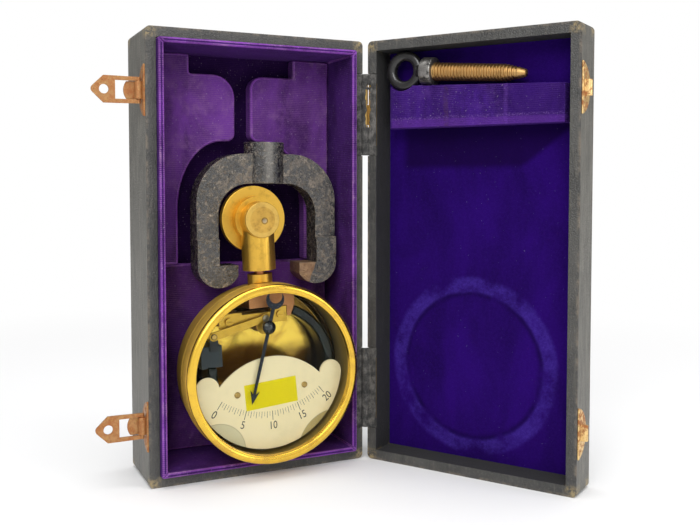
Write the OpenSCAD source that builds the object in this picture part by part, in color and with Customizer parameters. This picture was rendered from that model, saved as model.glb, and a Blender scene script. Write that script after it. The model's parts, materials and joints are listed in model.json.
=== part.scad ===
// Standard pressure gauge in its fitted wooden case, with the U-clamp and the
// eye screw that fix it to a boiler cock. The case stands on its lower end,
// open. +Z is up, +Y points to the back of the case, and the origin is in the
// middle of the face that the case stands on.

/* [Case] */
// Outer width of the case
case_w = 134; // [124:1:150]
// Outer height of the case as it stands
case_h = 260; // [252:1:280]
// Depth of the base, from rim to back
base_depth = 46; // [44:0.5:60]
// Depth of the lid, from rim to back
lid_depth = 22.5; // [22:0.5:32]
// Thickness of the wooden walls
wall_t = 6; // [5:0.5:7]
// Thickness of the back panels
panel_t = 4; // [3:0.5:4.5]
// Thickness of the velvet sheets
velvet_t = 1; // [0.8:0.1:1.2]
// Outer corner radius of the case
case_corner_r = 3; // [1:0.5:5]
// Gap between the rims when the case is shut
rim_gap = 0.3; // [0.2:0.1:0.6]
// Angle between base and lid as modelled
lid_open = 122; // [100:1:150]
// Thickness of the velvet-covered lip boards
lip_t = 3; // [2.5:0.5:3.5]
// How far the lip boards stand out in front of the rim
lip_proud = 5.2; // [3:0.1:6]

/* [Fitted boards] */
// Depth of the upper board surface behind the rim
upper_board_at = 31.5; // [31.4:0.1:33]
// Depth of the lower board surface behind the rim
lower_board_at = 36; // [34:0.5:39]
// Height of the joint between lower and upper boards
board_joint_z = 124; // [118:1:128]
// Sideways place of the shaped recess
recess_x = -0.25; // [-3:0.25:3]
// Half width of the bell part of the recess
bell_half_w = 41; // [36:0.5:44]
// Height of the crown of the bell
bell_top_z = 198.5; // [190:0.5:202]
// Height where the bell's sides start to curve in
bell_spring_z = 157; // [145:1:165]
// Reach of the bell's curved shoulders
bell_shoulder_w = 28; // [20:0.5:32]
// Width of the neck between bell and cross slot
neck_w = 10; // [8:0.5:14]
// Half width of the cross slot
cross_half_w = 33.5; // [25:0.5:40]
// Distance of the cross slot's lower edge below the case's top
cross_down = 21; // [17:0.5:26]
// Corner radius of the left lobe beside the neck
lobe_left_r = 14; // [8:0.5:18]
// Corner radius of the right lobe beside the neck
lobe_right_r = 8; // [5:0.5:14]
// Radius of the packing disc that carries the gauge
gauge_rest_r = 38; // [30:1:44]

/* [Lid bar] */
// Distance of the bar's lower edge below the case's top
bar_bottom_down = 53.5; // [48:0.5:65]
// Distance of the bar's top below the case's top at the hinge end
bar_top_down = 27.7; // [26.5:0.1:32]
// Drop of the bar's top towards the free end
bar_drop = 4.4; // [4:0.1:6]
// Depth of the bar's front behind the lid rim
bar_front_at = 2.8; // [2:0.1:6]
// Clear space between the bar's ends and the lid walls
bar_end_gap = 4; // [3.6:0.1:8]

/* [Hinges and straps] */
// Height of a hinge's middle above or below the case's ends
hinge_inset = 45; // [40:1:60]
// Length of a hinge leaf
hinge_len = 38; // [30:1:44]
// Radius of a hinge knuckle
knuckle_r = 1.7; // [1.5:0.05:1.8]
// Radius of a hinge pin
hinge_pin_r = 0.9; // [0.7:0.05:1]
// Thickness of a hinge leaf
leaf_t = 0.8; // [0.6:0.1:0.9]
// Width of a hinge leaf
leaf_w = 7; // [6:0.5:8]
// Height of a cloth strap
strap_h = 50; // [46:1:56]
// Thickness of a cloth strap
strap_t = 0.6; // [0.4:0.1:0.7]

/* [Hasps] */
// Height of a hasp's middle above or below the case's ends
hasp_inset = 35.5; // [30:0.5:50]
// Height of the plates on the walls
plate_h = 29; // [26:0.5:34]
// Width of the plates on the walls
plate_w = 13; // [11:0.5:16]
// Thickness of the plates
plate_t = 1; // [0.8:0.1:1.2]
// Reach of a hasp from its bar to its tip
hasp_reach = 26; // [22:0.5:26.5]
// Height of a hasp's widest part
hasp_h = 15; // [14:0.5:18]
// Thickness of a hasp
hasp_t = 1.2; // [1:0.1:1.4]
// Radius of the round hole in a hasp
hasp_hole_r = 2.6; // [2:0.1:3]
// Radius of a hasp's bar
hasp_bar_r = 1; // [0.8:0.1:1.1]

/* [Gauge] */
// Outer radius of the bezel
bezel_r = 52.5; // [50:0.5:53]
// Radius of the bezel's opening
bezel_open_r = 47.3; // [45:0.1:48]
// How far the bezel's front stands out of the case rim
bezel_front = 17.2; // [15:0.1:17.2]
// Depth of the casing's back behind the case rim
casing_back = 18; // [16:0.5:20]
// Wall of the casing
casing_wall = 1.2; // [1:0.1:1.6]
// Sideways place of the gauge in the case
gauge_x = 3.25; // [0:0.25:4]
// Lean of the gauge's stem to the left
gauge_tilt = 3; // [0:0.5:3]
// Thickness of the glass
glass_t = 2; // [1.5:0.1:2.2]
// Height of the dial's surface in front of the case rim
dial_front = 6.4; // [5.4:0.1:6.8]
// Thickness of the dial
dial_t = 1; // [0.6:0.1:1.2]
// Distance of the pointer's pivot above the gauge's middle
pivot_y = 26.4; // [24:0.1:28]
// Length of the pointer from pivot to tip
pointer_len = 45.7; // [40:0.1:48]
// Angle of the pointer at rest, from the middle of the scale
pointer_rest = -16.5; // [-20:0.5:0]
// Distance from the pivot to the middle of the pointer's crescent
crescent_at = 16.6; // [14:0.1:17.5]

/* [Movement] */
// Radius of the Bourdon tube's middle line
tube_r = 37; // [35:0.5:38]
// Thickness of the tube's flat section
tube_thick = 6; // [4:0.5:7]
// Width of the tube's flat section
tube_width = 15; // [12:0.5:16]
// Sideways place of the tube's middle
tube_x = 3.5; // [2:0.5:4]
// Length of the pointer arbor's crank
crank_len = 5; // [4:0.25:5]
// Direction of the crank at rest
crank_angle = 95; // [90:1:100]
// Radius of the crank's pin
crank_pin_r = 0.7; // [0.5:0.05:0.8]
// Play of the link's eye round the crank's pin
link_play = 0.95; // [0.9:0.05:1.1]

/* [Stem and flange] */
// Depth of the stem's axis behind the case rim
stem_at = 3.2; // [2:0.1:3.4]
// Radius of the collar on the casing
collar_r = 7.35; // [6:0.05:8]
// Radius of the stem tube
stem_r = 9.8; // [9:0.1:9.8]
// Distance of the flange's axis above the gauge's middle
flange_y = 89.5; // [88:0.1:91]
// Radius of the flange disc
flange_r = 19.8; // [18:0.1:19.8]
// Thickness of the flange disc
flange_t = 5; // [4:0.5:6]
// Radius of the pressure port
port_r = 2.5; // [1.5:0.1:4]

/* [Clamp] */
// Outer width of the clamp
clamp_w = 88.6; // [88:0.1:92]
// Width of a clamp arm
clamp_arm = 13.2; // [12:0.1:13.2]
// Distance between the clamp and the right lip board
clamp_side_gap = 4.4; // [4.1:0.05:4.6]
// Depth of the clamp's axis behind the case rim
clamp_at = 19; // [18:0.1:19]
// Thickness of the clamp's arms
clamp_t = 14; // [12:0.5:15]
// Extra thickness of the jaws at the front
jaw_step = 2; // [1:0.5:2.5]
// Height of the hooks' inner faces
jaw_z = 124; // [123.8:0.1:126]
// Radius of the hooks' rounded ends
hook_r = 13.2; // [12:0.1:13.2]
// Reach of a hook from its middle to its inner end
hook_reach = 11.5; // [9:0.1:11.5]
// Height of the clamp's inner crown
crown_z = 172.5; // [172:0.5:176]
// Height of the clamp's outer shoulders
shoulder_z = 190.5; // [188:0.5:194]
// Height of the boss's top
boss_top_z = 197.5; // [195:0.5:200]
// Radius of the boss
boss_r = 12.2; // [11:0.1:12.2]
// Radius of the threaded hole in the boss
clamp_hole_r = 5.6; // [4:0.1:6.5]

/* [Eye screw] */
// Outer radius of the ring
eye_r = 12.25; // [11:0.05:12.25]
// Radius of the hole in the ring
eye_hole_r = 6; // [5:0.1:7]
// Thickness of the ring
eye_t = 6; // [5:0.5:6]
// Radius of the collar behind the ring
screw_collar_r = 8.5; // [7.5:0.1:8.5]
// Length of that collar
screw_collar_len = 8; // [6:0.5:10]
// Radius of the screw's shank
shank_r = 5.5; // [4.5:0.1:5.5]
// Length of the shank with its point
shank_len = 58; // [50:1:64]
// Distance of the ring's middle from the hinge axis
eye_u = 23.6; // [22:0.1:27]
// Distance of the ring's middle below the case's top
eye_down = 18.8; // [18.8:0.1:20]
// Slope of the screw in its compartment
screw_slope = 4.5; // [3:0.1:4.5]
// Depth of the screw's axis behind the lid rim
screw_at = 8.6; // [8.4:0.1:8.6]

/* [Hidden] */
$fn = 96;

// Clearances
seat_gap = 0.3;
fit_gap = 0.2;
running_gap = 0.05;
clamp_disc_gap = 0.85;
eps = 0.01;

// Places that follow from the driving sizes
rim_y = -base_depth / 2;
inner_w = case_w - 2 * wall_t;
lip_out_x = inner_w / 2 - seat_gap;
lip_in_x = lip_out_x - lip_t;
lip_in_z = wall_t + seat_gap + lip_t;
floor_at = base_depth - panel_t - velvet_t;
lid_floor_at = lid_depth - panel_t - velvet_t;
hinge_clear = 0.05;
hinge_off = knuckle_r + hinge_clear;
hinge_x = case_w / 2 + hinge_off;
gauge_z = lip_in_z + seat_gap + bezel_r;
cross_z = case_h - cross_down;
bar_bottom_z = case_h - bar_bottom_down;
bar_top_z = case_h - bar_top_down;
eye_z = case_h - eye_down;

cloth_colour = "#33322f";
velvet_colour = "#4a2080";
lid_velvet_colour = "#2c1488";
gilt_colour = "#d9a832";
brass_colour = "#b98a35";
rust_colour = "#a5642e";
iron_colour = "#3c3a36";
blued_colour = "#23262e";

// A flat shape in the XZ plane, carried along Y from one depth behind the rim
// to another. Negative depths stand out in front of the rim.
module slab(from, to) {
    translate([0, rim_y + to, 0])
        rotate([90, 0, 0])
            linear_extrude(to - from)
                children();
}

// Frame of the lid: X runs from the hinge axis to the free side, Y is depth.
module on_lid() {
    translate([hinge_x, rim_y, 0])
        rotate([0, 0, lid_open - 180])
            children();
}

// The same slab in the lid's own frame
module lid_slab(from, to) {
    translate([0, to, 0])
        rotate([90, 0, 0])
            linear_extrude(to - from)
                children();
}

// Gauge frame: X right, Y up the stem, Z out of the dial, with the origin on
// the gauge's axis in the plane of the case rim.
module on_gauge() {
    translate([gauge_x, rim_y, gauge_z])
        rotate([0, -gauge_tilt, 0])
            rotate([90, 0, 0])
                children();
}

module rounded_square(w, h, r) {
    translate([-w / 2, r]) square([w, h - 2 * r]);
    translate([-w / 2 + r, 0]) square([w - 2 * r, h]);
    for (x = [-w / 2 + r, w / 2 - r], z = [r, h - r])
        translate([x, z]) circle(r);
}

// Four mitred boards round an opening: side 0 is the foot, 1 the right side,
// 2 the top and 3 the left side. The glue joint leaves a hairline between them.
module mitre(side, w, h, t) {
    corners = [[-w / 2, 0], [w / 2, 0], [w / 2, h], [-w / 2, h]];
    inward = [[t, t], [-t, t], [-t, -t], [t, -t]];
    glue = 0.02;
    a = side;
    b = (side + 1) % 4;
    along = glue * (corners[b] - corners[a]) / norm(corners[b] - corners[a]);
    polygon([
        corners[a] + along, corners[b] - along,
        corners[b] + inward[b] - along, corners[a] + inward[a] + along
    ]);
}

module wall_board(side, w, h, t, r) {
    intersection() {
        rounded_square(w, h, r);
        mitre(side, w, h, t);
    }
}

// Heights of the two hinges and of the two hasps
hinge_heights = [hinge_inset, case_h - hinge_inset];
hasp_heights = [hasp_inset, case_h - hasp_inset];

// Base of the case

mortise_deep = leaf_t + strap_t + 0.25;

module hinge_mortises() {
    for (z = hinge_heights)
        translate([-eps, -eps, z - strap_h / 2 - seat_gap])
            cube([wall_t + hinge_off + 2 * eps, mortise_deep + eps, strap_h + 2 * seat_gap]);
}

module base_walls() {
    color(cloth_colour)
        for (side = [0:3])
            difference() {
                slab(rim_gap / 2, base_depth)
                    wall_board(side, case_w, case_h, wall_t, case_corner_r);
                if (side == 1)
                    translate([case_w / 2 - wall_t, rim_y, 0]) hinge_mortises();
            }
}

module base_panel() {
    color(cloth_colour)
        slab(base_depth - panel_t, base_depth)
            translate([-inner_w / 2, wall_t]) square([inner_w, case_h - 2 * wall_t]);
}

module base_floor_velvet() {
    color(velvet_colour)
        slab(floor_at, base_depth - panel_t)
            translate([-inner_w / 2, wall_t]) square([inner_w, case_h - 2 * wall_t]);
}

module lip_boards() {
    color(velvet_colour)
        slab(-lip_proud, floor_at)
            translate([0, wall_t + seat_gap])
                for (side = [0:3])
                    mitre(side, 2 * lip_out_x, case_h - 2 * (wall_t + seat_gap), lip_t);
}

// Points of a quarter ellipse about a centre, from one angle to another
function ellipse_arc(centre, a, b, from, to, steps) =
    [for (i = [0:steps])
        let (t = from + (to - from) * i / steps)
        centre + [a * cos(t), b * sin(t)]];

// One half of the bell, up to the neck: side is -1 for left and 1 for right
module bell_half(side) {
    shoulder = ellipse_arc(
        [bell_half_w - bell_shoulder_w, bell_spring_z],
        bell_shoulder_w, bell_top_z - bell_spring_z, 0, 90, 12
    );
    pts = concat([[0, board_joint_z - 1], [bell_half_w, board_joint_z - 1]], shoulder, [[0, bell_top_z]]);
    polygon([for (p = pts) [recess_x + side * p[0], p[1]]]);
}

// A board fills its side of the case from the joint up to the cross slot,
// rounded where it meets the neck, and a strip beside the cross slot.
module upper_board(side, lobe_r) {
    edge = lip_in_x - fit_gap;
    near = recess_x + side * neck_w / 2;
    far = side * edge;
    foot_r = 5;
    slot_end = recess_x + side * cross_half_w;
    color(velvet_colour)
        slab(upper_board_at, floor_at) {
            difference() {
                union() {
                    translate([min(near, far), board_joint_z])
                        square([abs(far - near), cross_z - lobe_r - board_joint_z]);
                    translate([min(near + side * lobe_r, far), board_joint_z])
                        square([abs(far - near) - lobe_r, cross_z - board_joint_z]);
                    translate([near + side * lobe_r, cross_z - lobe_r]) circle(lobe_r);
                }
                bell_half(side);
                neck_foot(side, near, foot_r);
            }
            translate([min(slot_end, far), cross_z - 1])
                square([abs(far - slot_end), case_h - lip_in_z - fit_gap - cross_z + 1]);
        }
}

// The rounded corner between the neck and the bell
module neck_foot(side, near, r) {
    difference() {
        translate([min(near, near + side * r), bell_top_z - eps]) square([r, r + eps]);
        translate([near + side * r, bell_top_z + r]) circle(r);
    }
}

module recess_board_left() {
    upper_board(-1, lobe_left_r);
}

module recess_board_right() {
    upper_board(1, lobe_right_r);
}

module lower_board() {
    color(velvet_colour)
        slab(lower_board_at, floor_at)
            translate([fit_gap - lip_in_x, lip_in_z + fit_gap])
                square([2 * (lip_in_x - fit_gap), board_joint_z - lip_in_z - 2 * fit_gap]);
}

module gauge_rest() {
    color(velvet_colour)
        slab(casing_back + seat_gap, lower_board_at)
            translate([gauge_x, gauge_z]) circle(gauge_rest_r);
}

// Hinges: two knuckles on the base's leaf and one between them on the lid's

knuckle_len = hinge_len / 3;

// A leaf lies in its mortise and runs into the knuckles, in a frame with the
// hinge axis at the origin and the leaf towards +X.
module hinge_leaf(spans, z) {
    leaf_from = mortise_deep - leaf_t;
    translate([0, 0, z - hinge_len / 2])
        difference() {
            union() {
                translate([knuckle_r + 0.25, leaf_from, 0])
                    cube([leaf_w - knuckle_r, leaf_t, hinge_len]);
                for (s = spans) {
                    translate([0, 0, s[0]]) cylinder(r = knuckle_r, h = s[1] - s[0]);
                    translate([0, leaf_from, s[0]])
                        cube([knuckle_r + 1, leaf_t, s[1] - s[0]]);
                }
            }
            translate([0, 0, -1])
                cylinder(r = hinge_pin_r + running_gap, h = hinge_len + 2);
        }
}

outer_spans = [[0, knuckle_len - 0.15], [2 * knuckle_len + 0.15, hinge_len]];
inner_spans = [[knuckle_len + 0.15, 2 * knuckle_len - 0.15]];

module hinge_leaves_base() {
    color(brass_colour)
        for (z = hinge_heights)
            translate([hinge_x, rim_y, 0]) mirror([1, 0, 0]) hinge_leaf(outer_spans, z);
}

module hinge_pins() {
    color(brass_colour)
        for (z = hinge_heights)
            translate([hinge_x, rim_y, z - hinge_len / 2])
                cylinder(r = hinge_pin_r, h = hinge_len);
}

module hinge_leaves_lid() {
    color(brass_colour)
        on_lid()
            for (z = hinge_heights) hinge_leaf(inner_spans, z);
}

// Cloth straps over the hinges: a flap on each rim and a bend round the knuckles
strap_in = 0.2;
strap_bend_r = knuckle_r + 0.15;

module strap_flap() {
    translate([strap_bend_r, strap_in]) square([hinge_off + wall_t - strap_bend_r, strap_t]);
}

module strap_outline() {
    tuck = asin((strap_in + strap_t / 2) / (strap_bend_r + strap_t / 2));
    from = 180 - tuck;
    to = 180 + lid_open + tuck;
    outer_r = strap_bend_r + strap_t;
    polygon(concat(
        ellipse_arc([0, 0], outer_r, outer_r, from, to, 16),
        ellipse_arc([0, 0], strap_bend_r, strap_bend_r, to, from, 16)
    ));
    mirror([1, 0]) strap_flap();
    rotate(lid_open - 180) strap_flap();
}

module hinge_straps() {
    color(cloth_colour)
        for (z = hinge_heights)
            translate([hinge_x, rim_y, z - strap_h / 2])
                linear_extrude(strap_h) strap_outline();
}

// Hasps

hasp_off = 2.6;
hasp_at = 5;
knuckle_half = 4.9;
hasp_knuckle_r = 2.4;
hasp_window_half = 5.15;
hasp_window_to = 13;
hasp_lip_r = 8.2;

// Frame of a hasp: X runs outward from the bar, Y is depth, Z is up
module on_hasp(z) {
    translate([-case_w / 2 - hasp_off, rim_y + hasp_at, z])
        mirror([1, 0, 0])
            children();
}

// A plate like a bow: straight along the rim and curved at the back, in a
// frame with Y as depth behind the rim and Z up.
module bow_plate() {
    r = (plate_h * plate_h / 4 + plate_w * plate_w) / (2 * plate_w);
    rotate([0, 90, 0])
        linear_extrude(plate_t)
            intersection() {
                translate([0, 0.3 + plate_w - r]) circle(r);
                translate([-plate_h / 2, 0.6]) square([plate_h, plate_w]);
            }
}

module hasp_plates() {
    lip_t = 1.2;
    color(rust_colour)
        for (z = hasp_heights)
            on_hasp(z)
                difference() {
                    union() {
                        translate([-hasp_off, -hasp_at, 0]) bow_plate();
                        cylinder(r = hasp_knuckle_r, h = 2 * knuckle_half, center = true);
                        translate([0, hasp_knuckle_r, 0])
                            rotate([90, 0, 0])
                                linear_extrude(lip_t)
                                    intersection() {
                                        circle(hasp_lip_r);
                                        translate([plate_t / 2 - hasp_off, -knuckle_half])
                                            square([2 * hasp_lip_r, 2 * knuckle_half]);
                                    }
                    }
                    cylinder(r = hasp_bar_r + running_gap, h = plate_h, center = true);
                }
}

// Outline of a hasp, from its bar at the left to its point at the right
module hasp_outline() {
    tip_r = 2.5;
    turn_x = hasp_reach - 6.6;
    turn = [hasp_reach - tip_r - turn_x, hasp_h / 2];
    lean = 90 - atan2(turn[1], turn[0]) + asin(tip_r / norm(turn));
    touch = [hasp_reach - tip_r + tip_r * cos(lean), tip_r * sin(lean)];
    polygon([
        [0, 0.2 - hasp_h / 2], [hasp_window_to, -hasp_h / 2], [turn_x, -hasp_h / 2],
        [touch[0], -touch[1]], [touch[0], touch[1]],
        [turn_x, hasp_h / 2], [hasp_window_to, hasp_h / 2], [0, hasp_h / 2 - 0.2]
    ]);
    translate([hasp_reach - tip_r, 0]) circle(tip_r);
}

module hasp(z) {
    color(rust_colour)
        on_hasp(z)
            union() {
                translate([0, hasp_t / 2, 0])
                    rotate([90, 0, 0])
                        linear_extrude(hasp_t)
                            difference() {
                                hasp_outline();
                                translate([-1, -hasp_window_half])
                                    square([hasp_window_to + 1, 2 * hasp_window_half]);
                                translate([hasp_reach - 6.9, 0]) circle(hasp_hole_r);
                            }
                cylinder(r = hasp_bar_r, h = hasp_h - 0.4, center = true);
            }
}

module upper_hasp() {
    hasp(case_h - hasp_inset);
}

module lower_hasp() {
    hasp(hasp_inset);
}

// Lid of the case

module lid_walls() {
    color(cloth_colour)
        on_lid()
            for (side = [0:3])
                difference() {
                    translate([hinge_off + case_w / 2, 0, 0])
                        lid_slab(rim_gap / 2, lid_depth)
                            wall_board(side, case_w, case_h, wall_t, case_corner_r);
                    if (side == 3) hinge_mortises();
                }
}

module lid_inner_sheet() {
    translate([hinge_off + wall_t, wall_t]) square([inner_w, case_h - 2 * wall_t]);
}

module lid_panel() {
    color(cloth_colour)
        on_lid() lid_slab(lid_depth - panel_t, lid_depth) lid_inner_sheet();
}

module lid_velvet() {
    color(lid_velvet_colour)
        on_lid() lid_slab(lid_floor_at, lid_depth - panel_t) lid_inner_sheet();
}

// Frame of the eye screw: X runs from the ring to the point
module on_screw() {
    on_lid()
        translate([eye_u, screw_at, eye_z])
            rotate([0, screw_slope, 0])
                children();
}

screw_collar_at = eye_r + 0.35;
screw_collar_end = screw_collar_at + screw_collar_len;

// The bar is a shelf with a sloped top, a bevelled hinge end and a slight
// crease, hollowed where the ring and the collar of the screw lie in it.
module lid_bar() {
    from = hinge_off + wall_t + bar_end_gap;
    to = hinge_off + case_w - wall_t - bar_end_gap;
    bevel = [5.6, 8];
    crease = 0.74;
    recede = 0.8;
    crease_u = from + crease * (to - from);
    color(lid_velvet_colour)
        difference() {
            on_lid()
                intersection() {
                    lid_slab(bar_front_at, lid_floor_at)
                        polygon([
                            [from, bar_bottom_z], [to, bar_bottom_z],
                            [to, bar_top_z - bar_drop], [from, bar_top_z]
                        ]);
                    linear_extrude(case_h)
                        polygon([
                            [from, lid_floor_at], [from, bar_front_at + bevel[1]],
                            [from + bevel[0], bar_front_at], [crease_u, bar_front_at],
                            [to, bar_front_at + recede], [to, lid_floor_at]
                        ]);
                }
            on_screw() {
                rotate([90, 0, 0]) cylinder(r = eye_r + seat_gap, h = 60, center = true);
                rotate([0, 90, 0])
                    cylinder(r = screw_collar_r + seat_gap, h = screw_collar_end + seat_gap);
                translate([0, -lid_depth, -screw_collar_r - seat_gap])
                    cube([screw_collar_end + seat_gap, lid_depth, 2 * (screw_collar_r + seat_gap)]);
            }
        }
}

module catch_plates() {
    hump_at = 3.8;
    hump_w = 3.6;
    hump_half = 4.5;
    hump_out = 4.5;
    color(gilt_colour)
        on_lid()
            for (z = hasp_heights)
                translate([hinge_off + case_w, 0, z])
                    union() {
                        bow_plate();
                        translate([0, hump_at, -hump_half])
                            cube([hump_out - hump_w / 2, hump_w, 2 * hump_half]);
                        translate([hump_out - hump_w / 2, hump_at + hump_w / 2, -hump_half])
                            cylinder(r = hump_w / 2, h = 2 * hump_half);
                    }
}

// Gauge

casing_r = bezel_r - 2;
casing_front = 11;
skirt_from = 1.5;

module casing() {
    corner_r = 4;
    inner_r = casing_r - casing_wall;
    back_t = 1.5;
    outer_arc = ellipse_arc([casing_r - corner_r, corner_r - casing_back], corner_r, corner_r, -90, 0, 8);
    inner_arc = ellipse_arc(
        [casing_r - corner_r, corner_r - casing_back],
        corner_r - casing_wall, corner_r - back_t, 0, -90, 8
    );
    color(gilt_colour)
        on_gauge()
            rotate_extrude()
                polygon(concat(
                    [[0, -casing_back]], outer_arc, [[casing_r, casing_front], [inner_r, casing_front]],
                    inner_arc, [[0, back_t - casing_back]]
                ));
}

module bezel() {
    edge_r = 2.5;
    ring_back = casing_front + glass_t;
    color(gilt_colour)
        on_gauge()
            rotate_extrude()
                polygon(concat(
                    [[casing_r + 0.05, ring_back], [casing_r + 0.05, skirt_from], [bezel_r, skirt_from]],
                    ellipse_arc([bezel_r - edge_r, bezel_front - edge_r], edge_r, edge_r, 0, 90, 8),
                    ellipse_arc([bezel_open_r + 0.8, bezel_front - 0.8], 0.8, 0.8, 90, 180, 4),
                    [[bezel_open_r, ring_back]]
                ));
}

module glass() {
    color("#dfe8ea", 0.35)
        on_gauge()
            translate([0, 0, casing_front]) cylinder(r = casing_r - 0.1, h = glass_t);
}

module casing_screw() {
    head_r = 1.6;
    color(brass_colour)
        on_gauge()
            rotate([0, 0, 196])
                translate([casing_r, 0, -2])
                    rotate([0, 90, 0])
                        cylinder(r = head_r, h = 1);
}

// The dial is a disc cut off by an arch that leaves the movement open
module dial() {
    dial_r = 46;
    arch_r = 42.2;
    arch_y = -33.3;
    ear = [38.5, -5.3];
    ear_r = 7;
    color("#efe6c8")
        on_gauge()
            translate([0, 0, dial_front - dial_t])
                linear_extrude(dial_t)
                    intersection() {
                        circle(dial_r);
                        union() {
                            translate([0, arch_y]) circle(arch_r);
                            for (s = [-1, 1])
                                translate([s * ear[0], ear[1]]) circle(ear_r);
                            translate([-dial_r, -dial_r]) square([2 * dial_r, dial_r + ear[1]]);
                        }
                    }
}

label_w = 32.3;
label_h = 15.3;
label_t = 0.15;
label_x = -0.2;
label_y = -13.1;
label_tilt = 2.5;

module dial_label() {
    color("#d8cf4a")
        on_gauge()
            translate([label_x, label_y, dial_front])
                rotate([0, 0, label_tilt])
                    translate([-label_w / 2, -label_h / 2, 0]) cube([label_w, label_h, label_t]);
}

post_x = 21;
post_y = -11;
back_inside = 1.5 - casing_back;

module dial_posts() {
    color(brass_colour)
        on_gauge()
            for (s = [-1, 1])
                translate([s * post_x, post_y, back_inside])
                    cylinder(r = 2.5, h = dial_front - dial_t - back_inside);
}

module dial_screws() {
    color(brass_colour)
        on_gauge()
            for (s = [-1, 1])
                translate([s * post_x, post_y, dial_front]) {
                    cylinder(r = 1.8, h = 0.5);
                    translate([0, 0, 0.5]) cylinder(r1 = 1.8, r2 = 1.2, h = 0.4);
                }
}

// Bourdon tube, from its start in the socket block clockwise to its tip
tube_from = 66.9;
tube_to = -189;
tube_back = -13;

module tube_sector(grow) {
    translate([tube_x, 0, tube_back - grow])
        rotate([0, 0, tube_to - grow])
            rotate_extrude(angle = tube_from - tube_to + grow)
                translate([tube_r - tube_thick / 2 - grow, 0])
                    square([tube_thick + 2 * grow, tube_width + 2 * grow]);
}

module bourdon_tube() {
    color("#2f3a2c")
        on_gauge() tube_sector(0);
}

socket_from = -14;
socket_t = 15;
socket_y = 37.3;
socket_left = -9;
socket_w = 28.5;
socket_h = 20;
horn_x = 14.4;
horn_y = 31;
horn_w = 5.1;

module socket_block() {
    color("#a8683f")
        on_gauge()
            difference() {
                translate([0, 0, socket_from])
                    linear_extrude(socket_t)
                        intersection() {
                            circle(casing_r - casing_wall - 0.02);
                            union() {
                                translate([socket_left, socket_y]) square([socket_w, socket_h]);
                                translate([horn_x, horn_y]) square([horn_w, socket_h]);
                            }
                        }
                tube_sector(0);
            }
}

// Movement: a front and a back plate on two pillars that carry the arbor. The
// places are in the gauge frame and grow with the casing.
full = casing_r / 50.5;
pillar_spots = full * [[-22.2, 31.4], [9.6, 32.6]];
pillar_r = 3;
lug_left_at = full * [-28, 27.5];
lug_left_size = [14, 8.5];
lug_right_at = full * [4, 28];
lug_right_size = [10, 9];
bridge_at = full * [-15, 28];
bridge_size = [20, 6.5];
pivot_boss_r = 5;
front_plate_t = 1.5;
back_plate_at = -12;
arbor_r = 0.9;
tip_pin = [-32.4, 24.3];
crank_pin = [crank_len * cos(crank_angle), pivot_y + crank_len * sin(crank_angle)];
link_from = 3.4;
link_to = 4.6;

module movement_plate_shape() {
    difference() {
        union() {
            translate(lug_left_at) square(lug_left_size);
            translate(lug_right_at) square(lug_right_size);
            translate(bridge_at) square(bridge_size);
            translate([0, pivot_y]) circle(pivot_boss_r);
        }
        translate([0, pivot_y]) circle(arbor_r + running_gap);
    }
}

module movement_plate_front() {
    color(brass_colour)
        on_gauge() linear_extrude(front_plate_t) movement_plate_shape();
}

module movement_plate_back() {
    color(brass_colour)
        on_gauge()
            translate([0, 0, back_plate_at])
                linear_extrude(front_plate_t)
                    difference() {
                        movement_plate_shape();
                        for (p = pillar_spots) translate(p) circle(pillar_r);
                    }
}

module movement_pillars() {
    color(brass_colour)
        on_gauge()
            for (p = pillar_spots)
                translate([p[0], p[1], back_inside]) cylinder(r = pillar_r, h = -back_inside);
}

module movement_screws() {
    color("#c9b27a")
        on_gauge()
            for (p = pillar_spots)
                translate([p[0], p[1], front_plate_t])
                    difference() {
                        cylinder(r = 2.2, h = 1.5);
                        translate([-3, -0.3, 1]) cube([6, 0.6, 2]);
                    }
}

module tube_tip_block() {
    color("#6b7480")
        on_gauge()
            difference() {
                translate([-39.8, 5.7, -12]) cube([12.6, 12.8, 13.8]);
                tube_sector(seat_gap);
            }
}

module tube_tip_lug() {
    lug_from = 1.8;
    lug_t = 1.4;
    color("#6b7480")
        on_gauge() {
            translate([-34.6, 15.5, lug_from]) cube([5, 11, lug_t]);
            translate([tip_pin[0], tip_pin[1], lug_from + lug_t - eps])
                cylinder(r = arbor_r, h = link_to - lug_from - lug_t + 0.3 + 2 * eps);
            translate([tip_pin[0], tip_pin[1], link_to + 0.3]) cylinder(r = 1.7, h = 0.7);
        }
}

module link_bar() {
    eye_tip_r = 2.6;
    eye_crank_r = 2.9;
    span = crank_pin - tip_pin;
    length = norm(span);
    color(brass_colour)
        on_gauge()
            translate([tip_pin[0], tip_pin[1], link_from])
                rotate([0, 0, atan2(span[1], span[0])])
                    linear_extrude(link_to - link_from)
                        difference() {
                            union() {
                                circle(eye_tip_r);
                                translate([length, 0]) circle(eye_crank_r);
                                polygon([[0, -2.5], [length, -2], [length, 2], [0, 2.5]]);
                            }
                            circle(arbor_r + running_gap);
                            translate([length, 0]) circle(crank_pin_r + link_play);
                        }
}

module pointer_arbor() {
    crank_from = 1.8;
    crank_t = 1.2;
    color("#8c8f92")
        on_gauge() {
            translate([0, pivot_y, back_plate_at]) cylinder(r = arbor_r, h = 7.5 - back_plate_at);
            translate([0, pivot_y, crank_from])
                rotate([0, 0, crank_angle])
                    linear_extrude(crank_t) {
                        circle(1.9);
                        translate([0, -1.3]) square([crank_len, 2.6]);
                        translate([crank_len, 0]) circle(1.5);
                    }
            translate([crank_pin[0], crank_pin[1], crank_from + crank_t - eps])
                cylinder(r = crank_pin_r, h = link_to - crank_from - crank_t + 0.3 + 2 * eps);
            translate([crank_pin[0], crank_pin[1], link_to + 0.3]) cylinder(r = 2.1, h = 0.5);
        }
}

// Frame of the pointer: Y runs from the pivot to the tip
module on_pointer() {
    on_gauge()
        translate([0, pivot_y, 0])
            rotate([0, 0, 180 + pointer_rest])
                children();
}

pointer_from = 8;
pointer_t = 0.6;

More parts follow.
